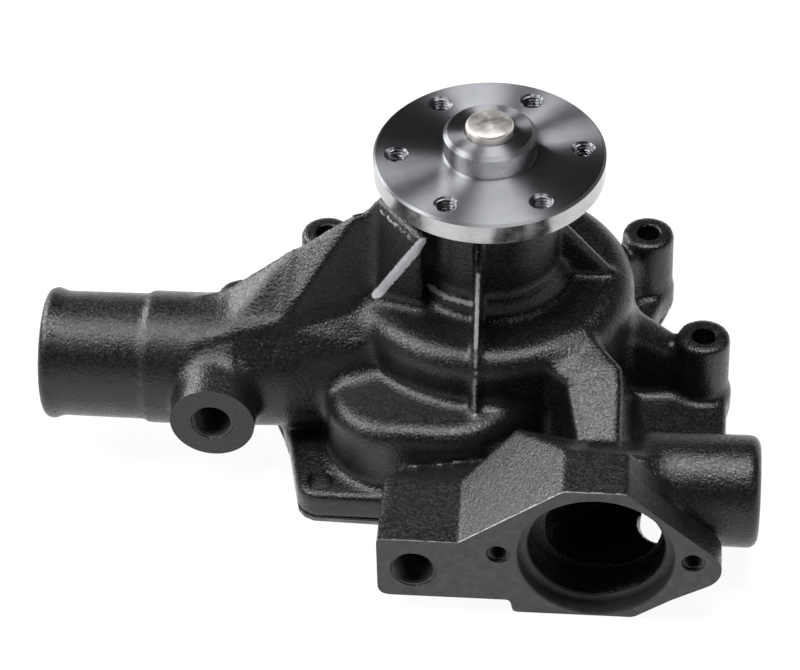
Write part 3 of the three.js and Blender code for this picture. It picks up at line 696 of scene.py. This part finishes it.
def carve(target, cutter):
    """Cuts the cutter out of the target and drops the cutter."""
    step = target.modifiers.new("cut", "BOOLEAN")
    step.operation = "DIFFERENCE"
    step.solver = "MANIFOLD"
    step.object = cutter
    graph = bpy.context.evaluated_depsgraph_get()
    result = bpy.data.meshes.new_from_object(target.evaluated_get(graph))
    target.modifiers.clear()
    spent = target.data
    target.data = result
    bpy.data.meshes.remove(spent)
    bpy.data.objects.remove(cutter)


def shade(made, angle):
    """Smooth shading, with edges above an angle in degrees kept sharp."""
    made.data.shade_smooth()
    made.data.set_sharp_from_angle(angle=math.radians(angle))


def box(name, low, high):
    """Box between two corners."""
    xs, ys, zs = zip(low, high)
    corners = [(x, y, z) for x in xs for y in ys for z in zs]
    faces = [(0, 1, 3, 2), (4, 6, 7, 5), (0, 4, 5, 1), (2, 3, 7, 6), (0, 2, 6, 4), (1, 5, 7, 3)]
    made = make_object(name, corners, faces)
    outward(made)
    return made


def threaded(name, axis, centre, mouth, depth, minor, pitch, sink=1.0, sides=36):
    """Cutter for a tapped hole that starts at mouth and goes depth along the axis."""
    way = 1 if depth > 0 else -1
    tall = abs(depth)
    deep = 0.54 * pitch
    steps = int(tall / pitch * 6)
    profile = [(0, -2.0), (minor + sink + 2.0, -2.0), (minor + deep, sink)]
    profile += [(minor, sink + (tall - sink) * (i + 0.5) / steps) for i in range(steps)]
    profile += [(minor, tall + pitch), (0, tall + pitch + 0.55 * minor)]
    profile = [(r, mouth + way * h) for r, h in profile]

    def wave(turn, r, h):
        far = abs(h - mouth)
        if r != minor or far > tall:
            return 0
        crest = abs(((far / pitch - turn / (2 * math.pi)) % 1) * 2 - 1)
        return deep * min(max(1.35 * crest - 0.15, 0), 1) * min(max((tall - far) / pitch, 0), 1)

    return turned(name, profile, sides, axis, centre, wave)


def on_circle(r, turn):
    """Point of a circle round the shaft, at an angle in radians."""
    return r * math.cos(turn), r * math.sin(turn)


def plain_bore(name, axis, centre, start, end, r, sink=0.6, sides=40):
    """Cutter for a plain hole with a small chamfer at its start."""
    way = 1 if end > start else -1
    profile = [
        (0, start - way * 2), (r + sink + 2, start - way * 2), (r, start + way * sink), (r, end),
        (0, end)]
    return turned(name, profile, sides, axis, centre)


def casting():
    """The casting with its machined faces, bores and threads."""
    body = make_object("pump_casting", *surface(casting_field()))
    outward(body)
    cuts = [
        box("face_cut", (-200, -140, -20), (130, FACE_Y, 120)),
        box("heater_cut", (HEATER_X - 22, -100, TUBE_Z - 25),
            (HEATER_X + 22, HEATER_FACE_Y, TUBE_Z + 25)),
        box("pad_cut", (5, -130, -20), (110, -40, 0)),
        box("tube_cut", (-200, -90, -20), (TUBE_END_X + 0.1, 40, 90)),
    ]
    bearing_bore = [
        (0, COLLAR_FOOT - 3), (18.2, COLLAR_FOOT - 3), (18.2, SEAL_SEAT), (14.8, SEAL_SEAT),
        (14.8, BEARING_FOOT - 0.3), (RACE_R + 0.3, BEARING_FOOT - 0.3),
        (RACE_R + 0.3, TOWER_TOP - 0.8), (RACE_R + 3, TOWER_TOP + 2), (0, TOWER_TOP + 2)]
    seat_end = FACE_Y + SEAT_DEEP
    bore_end = ROOF_BACK_Y - 4
    seat = [
        (0, FACE_Y - 4), (SEAT_R + 4.5, FACE_Y - 4), (SEAT_R, FACE_Y + 0.5), (SEAT_R, seat_end),
        (BORE_R + 0.6, seat_end), (BORE_R, seat_end + 0.8), (BORE_R, bore_end), (0, bore_end)]
    cuts += [
        turned("bearing_cut", bearing_bore, 96),
        turned("seat_cut", seat, 96, 1, BORE_AXIS),
        plain_bore("outlet_cut", 2, OUTLET, 0, 9, OUTLET_R, sides=64),
        plain_bore("stub_cut", 0, STUB_AXIS, STUB_END_X, 60, STUB_BORE_R, sides=64),
        plain_bore("weep_cut", 1, (0, DRUM_TOP + 2), TOWER_FOOT_R + 1, 8, 1.6, 0.3, 20),
        threaded("heater_thread", 1, HEATER_AXIS, HEATER_FACE_Y, 14, HEATER_HOLE_R - 0.4, 1.4, 0.4),
        plain_bore("heater_bore", 1, HEATER_AXIS, HEATER_FACE_Y - 3, TUBE_Y, 6.4, sides=40),
        threaded("switch_thread", 1, SWITCH_AXIS, FACE_Y, 18, SWITCH_R - 0.4, 1.5, 0.4),
    ]
    for x in COVER_BOLT_X:
        cuts.append(threaded(
            "cover_thread", 1, (x, BORE_Z), FACE_Y, 15, COVER_BOLT_R - 0.3, 1.25, 0.7, 28))
    for place in BOSSES:
        cuts.append(plain_bore("bolt_cut", 2, place, BOSS_TOP, BELOW_Z, BOLT_HOLE_R))
    cuts.append(plain_bore("ear_cut", 2, EAR, FLANGE_TOP, BELOW_Z, BOLT_HOLE_R))
    for turn in np.radians(SCREW_ANGLES):
        place = on_circle(SCREW_PITCH_R, turn)
        cuts.append(plain_bore(
            "screw_cut", 2, place, GASKET_TOP, SCREW_HOLE_TOP, SCREW_HOLE_R, 0.3, 20))
    for cutter in cuts:
        carve(body, cutter)
    shade(body, 42)
    return body


def mark_machined(body, slot_number):
    """Gives the faces that a tool has cut their own material slot."""
    mesh = body.data
    count = len(mesh.polygons)
    normal = np.empty(count * 3)
    centre = np.empty(count * 3)
    mesh.polygons.foreach_get("normal", normal)
    mesh.polygons.foreach_get("center", centre)
    normal = normal.reshape(-1, 3)
    x, y, z = (centre.reshape(-1, 3) / MM).T
    front = (np.abs(y - FACE_Y) < 0.05) & (normal[:, 1] < -0.99)
    pad = (z < GASKET_TOP + 0.05) & (normal[:, 2] < -0.98)
    from_bore = np.hypot(x - BORE_X, z - BORE_Z)
    seat = (from_bore < SEAT_R + 0.7) & (from_bore > BORE_R - 0.1)
    seat &= y < FACE_Y + SEAT_DEEP + 0.9
    bearing = (np.hypot(x, y) < RACE_R + 1.2) & (z > SEAL_SEAT - 1)
    taps = np.zeros(count, bool)
    tapped = [(*HEATER_AXIS, HEATER_FACE_Y, HEATER_HOLE_R), (*SWITCH_AXIS, FACE_Y, SWITCH_R)]
    tapped += [(bolt_x, BORE_Z, FACE_Y, COVER_BOLT_R) for bolt_x in COVER_BOLT_X]
    for tx, tz, ty, r in tapped:
        taps |= (np.hypot(x - tx, z - tz) < r + 0.2) & (y > ty + 0.2) & (y < ty + 18)
    slots = np.where(front | pad | seat | bearing | taps, slot_number, 0).astype(np.int32)
    mesh.polygons.foreach_set("material_index", slots)


def mark_sides(body, slot_number):
    """Gives the upright walls of a turned piece their own material slot."""
    for face in body.data.polygons:
        if abs(face.normal.z) < 0.3:
            face.material_index = slot_number


# ---------------------------------------------------------------- the rotor and the bearing


def hub():
    """The turned hub with its raised nose and six tapped holes."""
    nose_r = HUB_NOSE_R - 0.1
    profile = [
        (SHAFT_R + 0.25, HUB_REAR - 6), (15.6, HUB_REAR - 6), (16.4, HUB_REAR - 5.2),
        (17.4, HUB_REAR - 0.8), (18.2, HUB_REAR), (HUB_R - 0.9, HUB_REAR),
        (HUB_R - 0.05, HUB_REAR + 0.9), (HUB_R - 0.05, HUB_FRONT - 0.9), (HUB_R - 0.9, HUB_FRONT),
        (HUB_NOSE_R + 2.2, HUB_FRONT), (HUB_NOSE_R + 1.4, HUB_FRONT - 0.45),
        (HUB_NOSE_R + 0.2, HUB_FRONT - 0.45), (HUB_NOSE_R - 0.5, HUB_FRONT + 0.1),
        (HUB_NOSE_R - 0.5, HUB_FRONT + 1.0), (nose_r, HUB_FRONT + 1.4), (nose_r, HUB_NOSE - 1.5),
        (HUB_NOSE_R - 1.6, HUB_NOSE), (SHAFT_R + 0.9, HUB_NOSE), (SHAFT_R + 0.25, HUB_NOSE - 0.7),
        (SHAFT_R + 0.25, HUB_REAR - 6)]
    made = turned("hub", profile, 160)
    for i in range(6):
        place = on_circle(HUB_HOLE_PITCH_R, math.radians(6 + 60 * i))
        carve(made, threaded("hub_thread", 2, place, HUB_FRONT, -10, 3.3, 1.25, 0.7, 48))
    shade(made, 30)
    return made


def groove(r, z, turns):
    """Profile points of a ball groove: an arc about a point of the balls' pitch circle."""
    return [(BALL_PITCH_R + r * math.cos(turn), z + r * math.sin(turn)) for turn in turns]


def shaft():
    """The drive shaft, which is also the bearing's inner race."""
    profile = [
        (0, 7), (INNER_SHAFT_R - 1, 7), (INNER_SHAFT_R, 8), (INNER_SHAFT_R, SEAL_SEAT + 1),
        (JOURNAL_R, BEARING_FOOT - 2)]
    groove_r = BALL_R + 0.3
    half = math.acos((BALL_PITCH_R - JOURNAL_R) / groove_r)
    for z in BALL_ROWS.values():
        profile += groove(groove_r, z, [math.pi + half - 2 * half * i / 8 for i in range(9)])
    profile += [
        (JOURNAL_R, BEARING_TOP + 1), (SHAFT_R, BEARING_TOP + 2), (SHAFT_R, SHAFT_END - 1.2),
        (SHAFT_R - 0.5, SHAFT_END - 0.35), (SHAFT_R - 1.4, SHAFT_END - 0.05),
        (0, SHAFT_END - 0.05)]
    made = turned("shaft", profile, 96)
    shade(made, 30)
    return made


def outer_race():
    """The bearing's outer ring with its two grooves."""
    rows = [
        (RACE_BORE_R - 0.6, BEARING_FOOT), (RACE_R - 0.7, BEARING_FOOT),
        (RACE_R, BEARING_FOOT + 0.7), (RACE_R, BEARING_TOP - 0.7), (RACE_R - 0.7, BEARING_TOP),
        (RACE_BORE_R - 0.6, BEARING_TOP)]
    for z in reversed(BALL_ROWS.values()):
        rows += groove(BALL_R + 0.8, z, [math.radians(35 - 70 * i / 6) for i in range(7)])
    rows.append(rows[0])
    made = turned("outer_race", rows, 96)
    shade(made, 30)
    return made


def ball(name, x, y, z):
    """One bearing ball."""
    mesh = bpy.data.meshes.new(name)
    shape = bmesh.new()
    bmesh.ops.create_uvsphere(shape, u_segments=24, v_segments=14, radius=BALL_R * MM,
                              matrix=Matrix.Translation((x * MM, y * MM, z * MM)))
    shape.to_mesh(mesh)
    shape.free()
    mesh.shade_smooth()
    made = bpy.data.objects.new(name, mesh)
    bpy.context.collection.objects.link(made)
    return made


def ring_rows(inner, outer, foot, top, edge=0.2):
    """Profile of a flat ring, with all but its inner lower edge broken."""
    return [
        (inner, foot), (outer - edge, foot), (outer, foot + edge), (outer, top - edge),
        (outer - edge, top), (inner + edge, top), (inner, top - edge), (inner, foot)]


SMALL_TURNED = {
    # replaced node: (body, slot, profile)
    "bearing_seal_rear": ("pump_housing", "seal_rubber", ring_rows(
        JOURNAL_R + 0.3, RACE_BORE_R - 0.9, BEARING_FOOT + 0.6, BEARING_FOOT + 2.2, 0.3)),
    "bearing_seal_front": ("pump_housing", "seal_rubber", ring_rows(
        JOURNAL_R + 0.3, RACE_BORE_R - 0.9, BEARING_TOP - 2.2, BEARING_TOP - 0.6, 0.3)),
    "water_slinger": ("rotor", "seal_rubber", [
        (8.6, 58.3), (10.2, 58.3), (11.8, 58.7), (13.2, 59.4), (13.2, 60.4), (9.2, 59.9),
        (8.6, 58.3)]),
    "seal_seat_boot": ("rotor", "seal_rubber", [
        (8.3, 28), (15.2, 28), (15.6, 28.4), (15.6, 34), (15.2, 34.4), (13.9, 34.4), (13.9, 30),
        (8.3, 30), (8.3, 28)]),
    "seal_ceramic_seat": ("rotor", "seal_ceramic", ring_rows(8.3, 13.6, 30.3, 35.4, 0.4)),
    "seal_carbon_ring": ("pump_housing", "seal_carbon", [
        (9.4, 35.7), (12, 35.7), (12.4, 37.4), (13.7, 37.4), (14, 37.7), (14, 40), (9.4, 40),
        (9.4, 35.7)]),
    "seal_bellows": ("pump_housing", "seal_rubber", [
        (9.2, 40.3), (13.2, 40.3), (13.2, 41.6), (11.6, 42.8), (11, 44), (11.9, 45.4), (12.6, 47),
        (11.9, 48.6), (11, 50), (12.6, 51.6), (15.6, 52.6), (15.6, 55), (9.2, 55), (9.9, 51),
        (10.2, 47), (9.9, 43), (9.2, 40.3)]),
    "seal_cup": ("pump_housing", "seal_brass", [
        (12, 55.4), (16.2, 55.4), (16.6, 55), (16.6, 42), (19.6, 42), (19.6, 43), (18.2, 43),
        (17.8, 43.4), (17.8, 56.2), (17.4, 56.6), (12, 56.6), (12, 55.4)]),
}


# ---------------------------------------------------------------- materials


class Look:
    """A material with one Principled shader and object coordinates in millimetres."""

    def __init__(self, name, **inputs):
        self.made = bpy.data.materials.new(name)
        self.made.use_nodes = True
        self.tree = self.made.node_tree
        self.shader = self.tree.nodes["Principled BSDF"]
        for key, value in inputs.items():
            self.shader.inputs[key.replace("_", " ")].default_value = value
        self.place = self.node("ShaderNodeTexCoord").outputs["Object"]
        scale = self.node("ShaderNodeMapping")
        scale.inputs["Scale"].default_value = (1000, 1000, 1000)
        self.link(self.place, scale.inputs["Vector"])
        self.place = scale.outputs["Vector"]
        self.height = None

    def node(self, kind):
        return self.tree.nodes.new(kind)

    def link(self, a, b):
        self.tree.links.new(a, b)

    def noise(self, size, detail=3.0, stretch=(1, 1, 1), rough=0.55):
        """Noise whose grains are about size millimetres."""
        out = self.node("ShaderNodeTexNoise")
        out.inputs["Scale"].default_value = 1 / size
        out.inputs["Detail"].default_value = detail
        out.inputs["Roughness"].default_value = rough
        squash = self.node("ShaderNodeMapping")
        squash.inputs["Scale"].default_value = stretch
        self.link(self.place, squash.inputs["Vector"])
        self.link(squash.outputs["Vector"], out.inputs["Vector"])
        return out.outputs["Fac"]

    def remap(self, value, low, high, to_low, to_high):
        """Value from low..high, clamped and stretched to to_low..to_high."""
        out = self.node("ShaderNodeMapRange")
        ends = {"From Min": low, "From Max": high, "To Min": to_low, "To Max": to_high}
        for key, number in ends.items():
            out.inputs[key].default_value = number
        self.link(value, out.inputs["Value"])
        return out.outputs["Result"]

    def mix(self, share, a, b):
        """Mix of two colours, each a constant or another node's output."""
        out = self.node("ShaderNodeMix")
        out.data_type = "RGBA"
        for socket, colour in ((out.inputs[6], a), (out.inputs[7], b)):
            if isinstance(colour, tuple):
                socket.default_value = (*colour, 1)
            else:
                self.link(colour, socket)
        self.link(share, out.inputs[0])
        return out.outputs[2]

    def step(self, kind, operation, *values):
        """Adds a math node on values that are constants or other nodes' outputs."""
        out = self.node(kind)
        out.operation = operation
        for socket, value in zip(out.inputs, values):
            if isinstance(value, bpy.types.NodeSocket):
                self.link(value, socket)
            else:
                socket.default_value = value
        return out

    def near(self, start, end, radius, ragged, strength):
        """A strength within a radius of a line, zero outside, with a ragged boundary."""
        vector, scalar = "ShaderNodeVectorMath", "ShaderNodeMath"
        line = Vector(end) - Vector(start)
        offset = self.step(vector, "SUBTRACT", self.place, start).outputs["Vector"]
        along = self.step(vector, "DOT_PRODUCT", offset, line).outputs["Value"]
        foot = self.step(vector, "SCALE", line)
        self.link(self.remap(along, 0, line.length_squared, 0, 1), foot.inputs["Scale"])
        gap = self.step(vector, "DISTANCE", offset, foot.outputs["Vector"]).outputs["Value"]
        wander = self.step(scalar, "MULTIPLY_ADD", self.noise(1.6, 3), 4 * ragged, -2 * ragged)
        total = self.step(scalar, "ADD", gap, wander.outputs[0]).outputs[0]
        return self.remap(total, radius - 0.25, radius + 0.25, strength, 0)

    def bump(self, value, depth):
        """Adds relief of a depth in millimetres."""
        out = self.node("ShaderNodeBump")
        out.inputs["Strength"].default_value = 1
        out.inputs["Distance"].default_value = depth * MM
        self.link(value, out.inputs["Height"])
        if self.height:
            self.link(self.height, out.inputs["Normal"])
        self.height = out.outputs["Normal"]
        self.link(self.height, self.shader.inputs["Normal"])

    def drive(self, key, value):
        self.link(value, self.shader.inputs[key])


# edges drawn light grey, partly paint ground off and partly painted highlight: (start, end, radius,
# raggedness, strength)
WEAR_AND_HIGHLIGHT_EDGES = [
    # the gusset's bar and the flash line under the hub: ground-off flash, drawn light grey as a
    # painted highlight too
    ((-41.2, -20.4, 61), (-21.8, -29.6, 96.5), 1.8, 0.3, 0.8),
    ((-38.2, -10.6, 93.5), (-25.4, -25.8, 93.6), 1.1, 0.6, 0.7),
    # the front rib's crest: painted highlight
    ((-2, -36.5, 87), (-2, -49, 63), 0.8, 0.2, 0.6),
    ((-2, -49, 63), (-2, -63, 36), 0.6, 0.8, 0.25),
    # the line round the tower's foot collar: painted highlight
    ((-21.8, -18.1, 65.5), (-14.8, -24.4, 65.5), 0.9, 0.6, 0.5),
    ((-14.8, -24.4, 65.5), (-5.5, -28, 65.5), 0.9, 0.6, 0.5),
    # the upper outline of the housing face: painted edge highlights
    ((PORT_LEFT_X, FACE_Y, PORT_TOP_Z), (-3.9, FACE_Y, PORT_TOP_Z), 0.35, 0.5, 0.3),
    ((-3.9, FACE_Y, PORT_TOP_Z), (32.6, FACE_Y, ROOF_Z), 0.5, 0.5, 0.5),
    ((32.6, FACE_Y, ROOF_Z), (54.5, FACE_Y, ROOF_Z), 0.35, 0.5, 0.35),
]


def black_paint():
    """Glossy black paint over sand-cast iron, light grey along the listed edges: partly paint
    rubbed off, partly painted highlight.
    """
    look = Look("black_paint_on_cast_iron")
    tone = look.remap(look.noise(9, 4), 0.35, 0.7, 0, 1)
    colour = look.mix(tone, (0.006, 0.006, 0.0065), (0.01, 0.01, 0.011))
    wear_and_highlight = None
    for edge in WEAR_AND_HIGHLIGHT_EDGES:
        near = look.near(*edge)
        if wear_and_highlight:
            near = look.step("ShaderNodeMath", "MAXIMUM", wear_and_highlight, near).outputs[0]
        wear_and_highlight = near
    # light grey along the listed edges: paint rubbed off and painted highlights
    look.drive("Base Color", look.mix(wear_and_highlight, colour, (0.6, 0.61, 0.64)))
    look.drive("Roughness", look.remap(look.noise(1.1, 3, rough=0.7), 0.38, 0.62, 0.1, 0.4))
    look.bump(look.noise(12, 2), 0.14)
    look.bump(look.noise(2.2, 2), 0.06)
    look.bump(look.noise(0.9, 3), 0.29)
    return look.made


def machined_iron():
    """Dull grey milled iron."""
    look = Look("machined_cast_iron", Metallic=0.55)
    tone = look.remap(look.noise(3.5, 5), 0.35, 0.7, 0, 1)
    look.drive("Base Color", look.mix(tone, (0.06, 0.06, 0.06), (0.085, 0.085, 0.085)))
    look.drive("Roughness", look.remap(look.noise(2, 3), 0.3, 0.7, 0.45, 0.6))
    look.bump(look.noise(0.5, 2, (1, 1, 0.08)), 0.02)
    look.bump(look.noise(1.2, 3), 0.03)
    return look.made


def turned_steel(name, colour, low, high, anisotropy):
    """Bright steel with turning marks around Z; low and high bound its roughness."""
    look = Look(name, Metallic=1.0, Anisotropic=anisotropy, Anisotropic_Rotation=0.25)
    tone = look.remap(look.noise(6, 4), 0.3, 0.7, 0, 1)
    look.drive("Base Color", look.mix(tone, tuple(0.88 * c for c in colour), colour))
    look.drive("Roughness", look.remap(look.noise(4, 3), 0.3, 0.7, low, high))
    tangent = look.node("ShaderNodeTangent")
    tangent.direction_type = "RADIAL"
    tangent.axis = "Z"
    look.link(tangent.outputs["Tangent"], look.shader.inputs["Tangent"])
    return look


def plain(name, colour, shade_colour, roughness, metallic, grain, relief):
    """A mottled material for small parts."""
    look = Look(name, Metallic=metallic)
    tone = look.remap(look.noise(grain * 3, 4), 0.3, 0.7, 0, 1)
    look.drive("Base Color", look.mix(tone, shade_colour, colour))
    rough = look.noise(grain * 2, 3)
    look.drive("Roughness", look.remap(rough, 0.3, 0.7, roughness - 0.08, roughness + 0.1))
    look.bump(look.noise(grain, 3), relief)
    return look.made


PLAIN_LOOKS = {
    # look: (material, colour, shade colour, roughness, metallic, grain and relief in mm)
    # a lighter copy of the hub's steel for its upright walls, beside a darker copy on its face:
    # painted light and painted shade
    "rim_steel_lit_copy": ("rim_turned_steel_lit_copy", (0.52, 0.52, 0.53), (0.45, 0.45, 0.46), 0.2, 1, 2.5, 0.004),
    "bearing_steel": ("bearing_steel", (0.56, 0.56, 0.57), (0.46, 0.46, 0.47), 0.22, 1, 2, 0.004),
    "zinc_plate": ("zinc_plated_steel", (0.2, 0.2, 0.21), (0.13, 0.13, 0.14), 0.5, 1, 1.5, 0.02),
    "gasket_fibre": (
        "gasket_fibre", (0.035, 0.035, 0.036), (0.018, 0.018, 0.02), 0.85, 0, 0.6, 0.05),
    "impeller_iron": (
        "impeller_cast_iron", (0.12, 0.115, 0.11), (0.07, 0.068, 0.066), 0.6, 0.6, 1.6, 0.12),
    "seal_rubber": (
        "seal_rubber", (0.022, 0.022, 0.023), (0.014, 0.014, 0.014), 0.7, 0, 0.8, 0.02),
    "seal_brass": ("seal_brass", (0.62, 0.43, 0.16), (0.48, 0.32, 0.11), 0.32, 1, 1.5, 0.01),
    "seal_carbon": (
        "seal_carbon", (0.03, 0.03, 0.032), (0.018, 0.018, 0.02), 0.45, 0.1, 0.7, 0.01),
    "seal_ceramic": ("seal_ceramic", (0.8, 0.77, 0.7), (0.72, 0.68, 0.6), 0.28, 0, 1, 0.004),
    "cage_plastic": ("cage_nylon", (0.5, 0.34, 0.17), (0.4, 0.26, 0.12), 0.5, 0, 1.2, 0.02),
}


def make_materials():
    """All materials, by look."""
    # the hub's face gets a darker copy of its steel, the walls a lighter one: painted shade and
    # painted light
    hub_face_shaded_steel = turned_steel("hub_turned_steel_shaded_copy", (0.26, 0.265, 0.28), 0.42, 0.46, 0.97)
    end_steel = turned_steel("shaft_ground_steel", (0.88, 0.84, 0.8), 0.34, 0.5, 0.2)
    end_steel.bump(end_steel.noise(1.4, 4), 0.03)
    return {
        "painted_casting": black_paint(),
        "machined_iron": machined_iron(),
        "turned_steel": hub_face_shaded_steel.made,
        "shaft_steel": end_steel.made,
        **{look: plain(*values) for look, values in PLAIN_LOOKS.items()},
    }


# ---------------------------------------------------------------- floor and light


FLOOR_HALF = 3000
FLOOR_Z = -0.6

# lights: name, direction from the pump, distance, width and height in metres, power in watts
LIGHTS = [
    ("overhead", (0.12, 0.02, 0.99), 1.0, 0.4, 0.5, 9),
    ("left_high", (-0.62, -0.1, 0.78), 1.0, 0.4, 0.5, 8),
    ("left_low", (-0.78, 0.5, 0.46), 1.1, 0.6, 0.4, 9),
]


def make_stage():
    """Pale floor that glows, so that its shadows stay faint as in the photograph."""
    square = ((-1, -1), (1, -1), (1, 1), (-1, 1))
    corners = [(x * FLOOR_HALF, y * FLOOR_HALF, 0) for x, y in square]
    floor = make_object("floor", corners, [(0, 1, 2, 3)])
    floor.location.z = FLOOR_Z * MM
    pale = Look("pale_floor")
    pale.shader.inputs["Base Color"].default_value = (0.1, 0.1, 0.1, 1)
    pale.shader.inputs["Emission Color"].default_value = (1, 1, 0.99, 1)
    pale.shader.inputs["Emission Strength"].default_value = 0.95
    pale.drive("Roughness", pale.remap(pale.noise(40, 3), 0.3, 0.7, 0.75, 0.9))
    floor.data.materials.append(pale.made)


def make_world():
    """A studio that is white at the horizon and dim above it."""
    world = bpy.data.worlds.new("studio")
    bpy.context.scene.world = world
    world.use_nodes = True
    nodes, link = world.node_tree.nodes, world.node_tree.links.new
    place = nodes.new("ShaderNodeTexCoord")
    split = nodes.new("ShaderNodeSeparateXYZ")
    ramp = nodes.new("ShaderNodeValToRGB")
    back = nodes["Background"]
    link(place.outputs["Generated"], split.inputs["Vector"])
    link(split.outputs["Z"], ramp.inputs["Fac"])
    link(ramp.outputs["Color"], back.inputs["Color"])
    back.inputs["Strength"].default_value = 0.8
    stops = ramp.color_ramp.elements
    stops[0].position = 0.06
    stops[0].color = (1, 1, 1, 1)
    stops[1].position = 0.3
    stops[1].color = (0.03, 0.031, 0.034, 1)


def softbox(name, direction, distance, width, height, power):
    """Area light that faces the pump from a direction."""
    data = bpy.data.lights.new(name, "AREA")
    data.shape = "RECTANGLE"
    data.size = width
    data.size_y = height
    data.energy = power
    light = bpy.data.objects.new(name, data)
    away = Vector(direction).normalized()
    light.location = away * distance + Vector((-0.02, -0.03, 0.05))
    light.rotation_euler = away.to_track_quat("Z", "Y").to_euler()
    bpy.context.collection.objects.link(light)


# ---------------------------------------------------------------- putting it together


MACHINED = 1  # the casting's second material
# the hub's second material is the lighter copy of its steel for the upright walls: painted light
WALLS = 1  # the hub's second material


def finish_piece(piece, body, slot, material, *nodes):
    """Gives a piece its material and body and hides the CAD nodes it stands in for; the slot is not
    used.
    """
    piece.data.materials.clear()
    piece.data.materials.append(material)
    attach(piece, body)
    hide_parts(*nodes)


def main():
    bpy.context.scene.view_settings.view_transform = "Standard"
    make_camera()
    looks = make_materials()
    steel = looks["bearing_steel"]
    body = casting()
    finish_piece(body, "pump_housing", "painted_casting", looks["painted_casting"], "pump_body")
    body.data.materials.append(looks["machined_iron"])
    mark_machined(body, MACHINED)
    wheel = hub()
    finish_piece(wheel, "rotor", "turned_steel", looks["turned_steel"], "hub_flange")
    # the hub's upright walls get the lighter copy of its steel: painted light
    wheel.data.materials.append(looks["rim_steel_lit_copy"])
    mark_sides(wheel, WALLS)
    finish_piece(shaft(), "rotor", "bearing_steel", looks["shaft_steel"], "drive_shaft")
    finish_piece(outer_race(), "pump_housing", "bearing_steel", steel, "bearing_outer_race")
    for row, z in BALL_ROWS.items():
        for i in range(8):
            x, y = on_circle(BALL_PITCH_R, math.radians(45 * i))
            made = ball(f"{row}_ball_{i + 1}", x, y, z)
            finish_piece(made, f"{row}_ball_row", "bearing_steel", steel, f"ball_{row}_{i + 1}")
    for node, (rides_on, slot, profile) in SMALL_TURNED.items():
        made = turned(f"{node}_fine", profile, 72)
        shade(made, 30)
        finish_piece(made, rides_on, slot, looks[slot], node)
    plain_nodes = {
        "gasket": "gasket_fibre", "back_plate": "zinc_plate", "impeller": "impeller_iron",
        "ball_cage_rear": "cage_plastic", "ball_cage_front": "cage_plastic",
        "seal_spring": "bearing_steel", **{f"plate_screw_{i}": "zinc_plate" for i in range(1, 6)}}
    for node, slot in plain_nodes.items():
        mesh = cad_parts[node].data
        mesh.materials.clear()
        mesh.materials.append(looks[slot])
    make_stage()
    make_world()
    for light in LIGHTS:
        softbox(*light)


main()
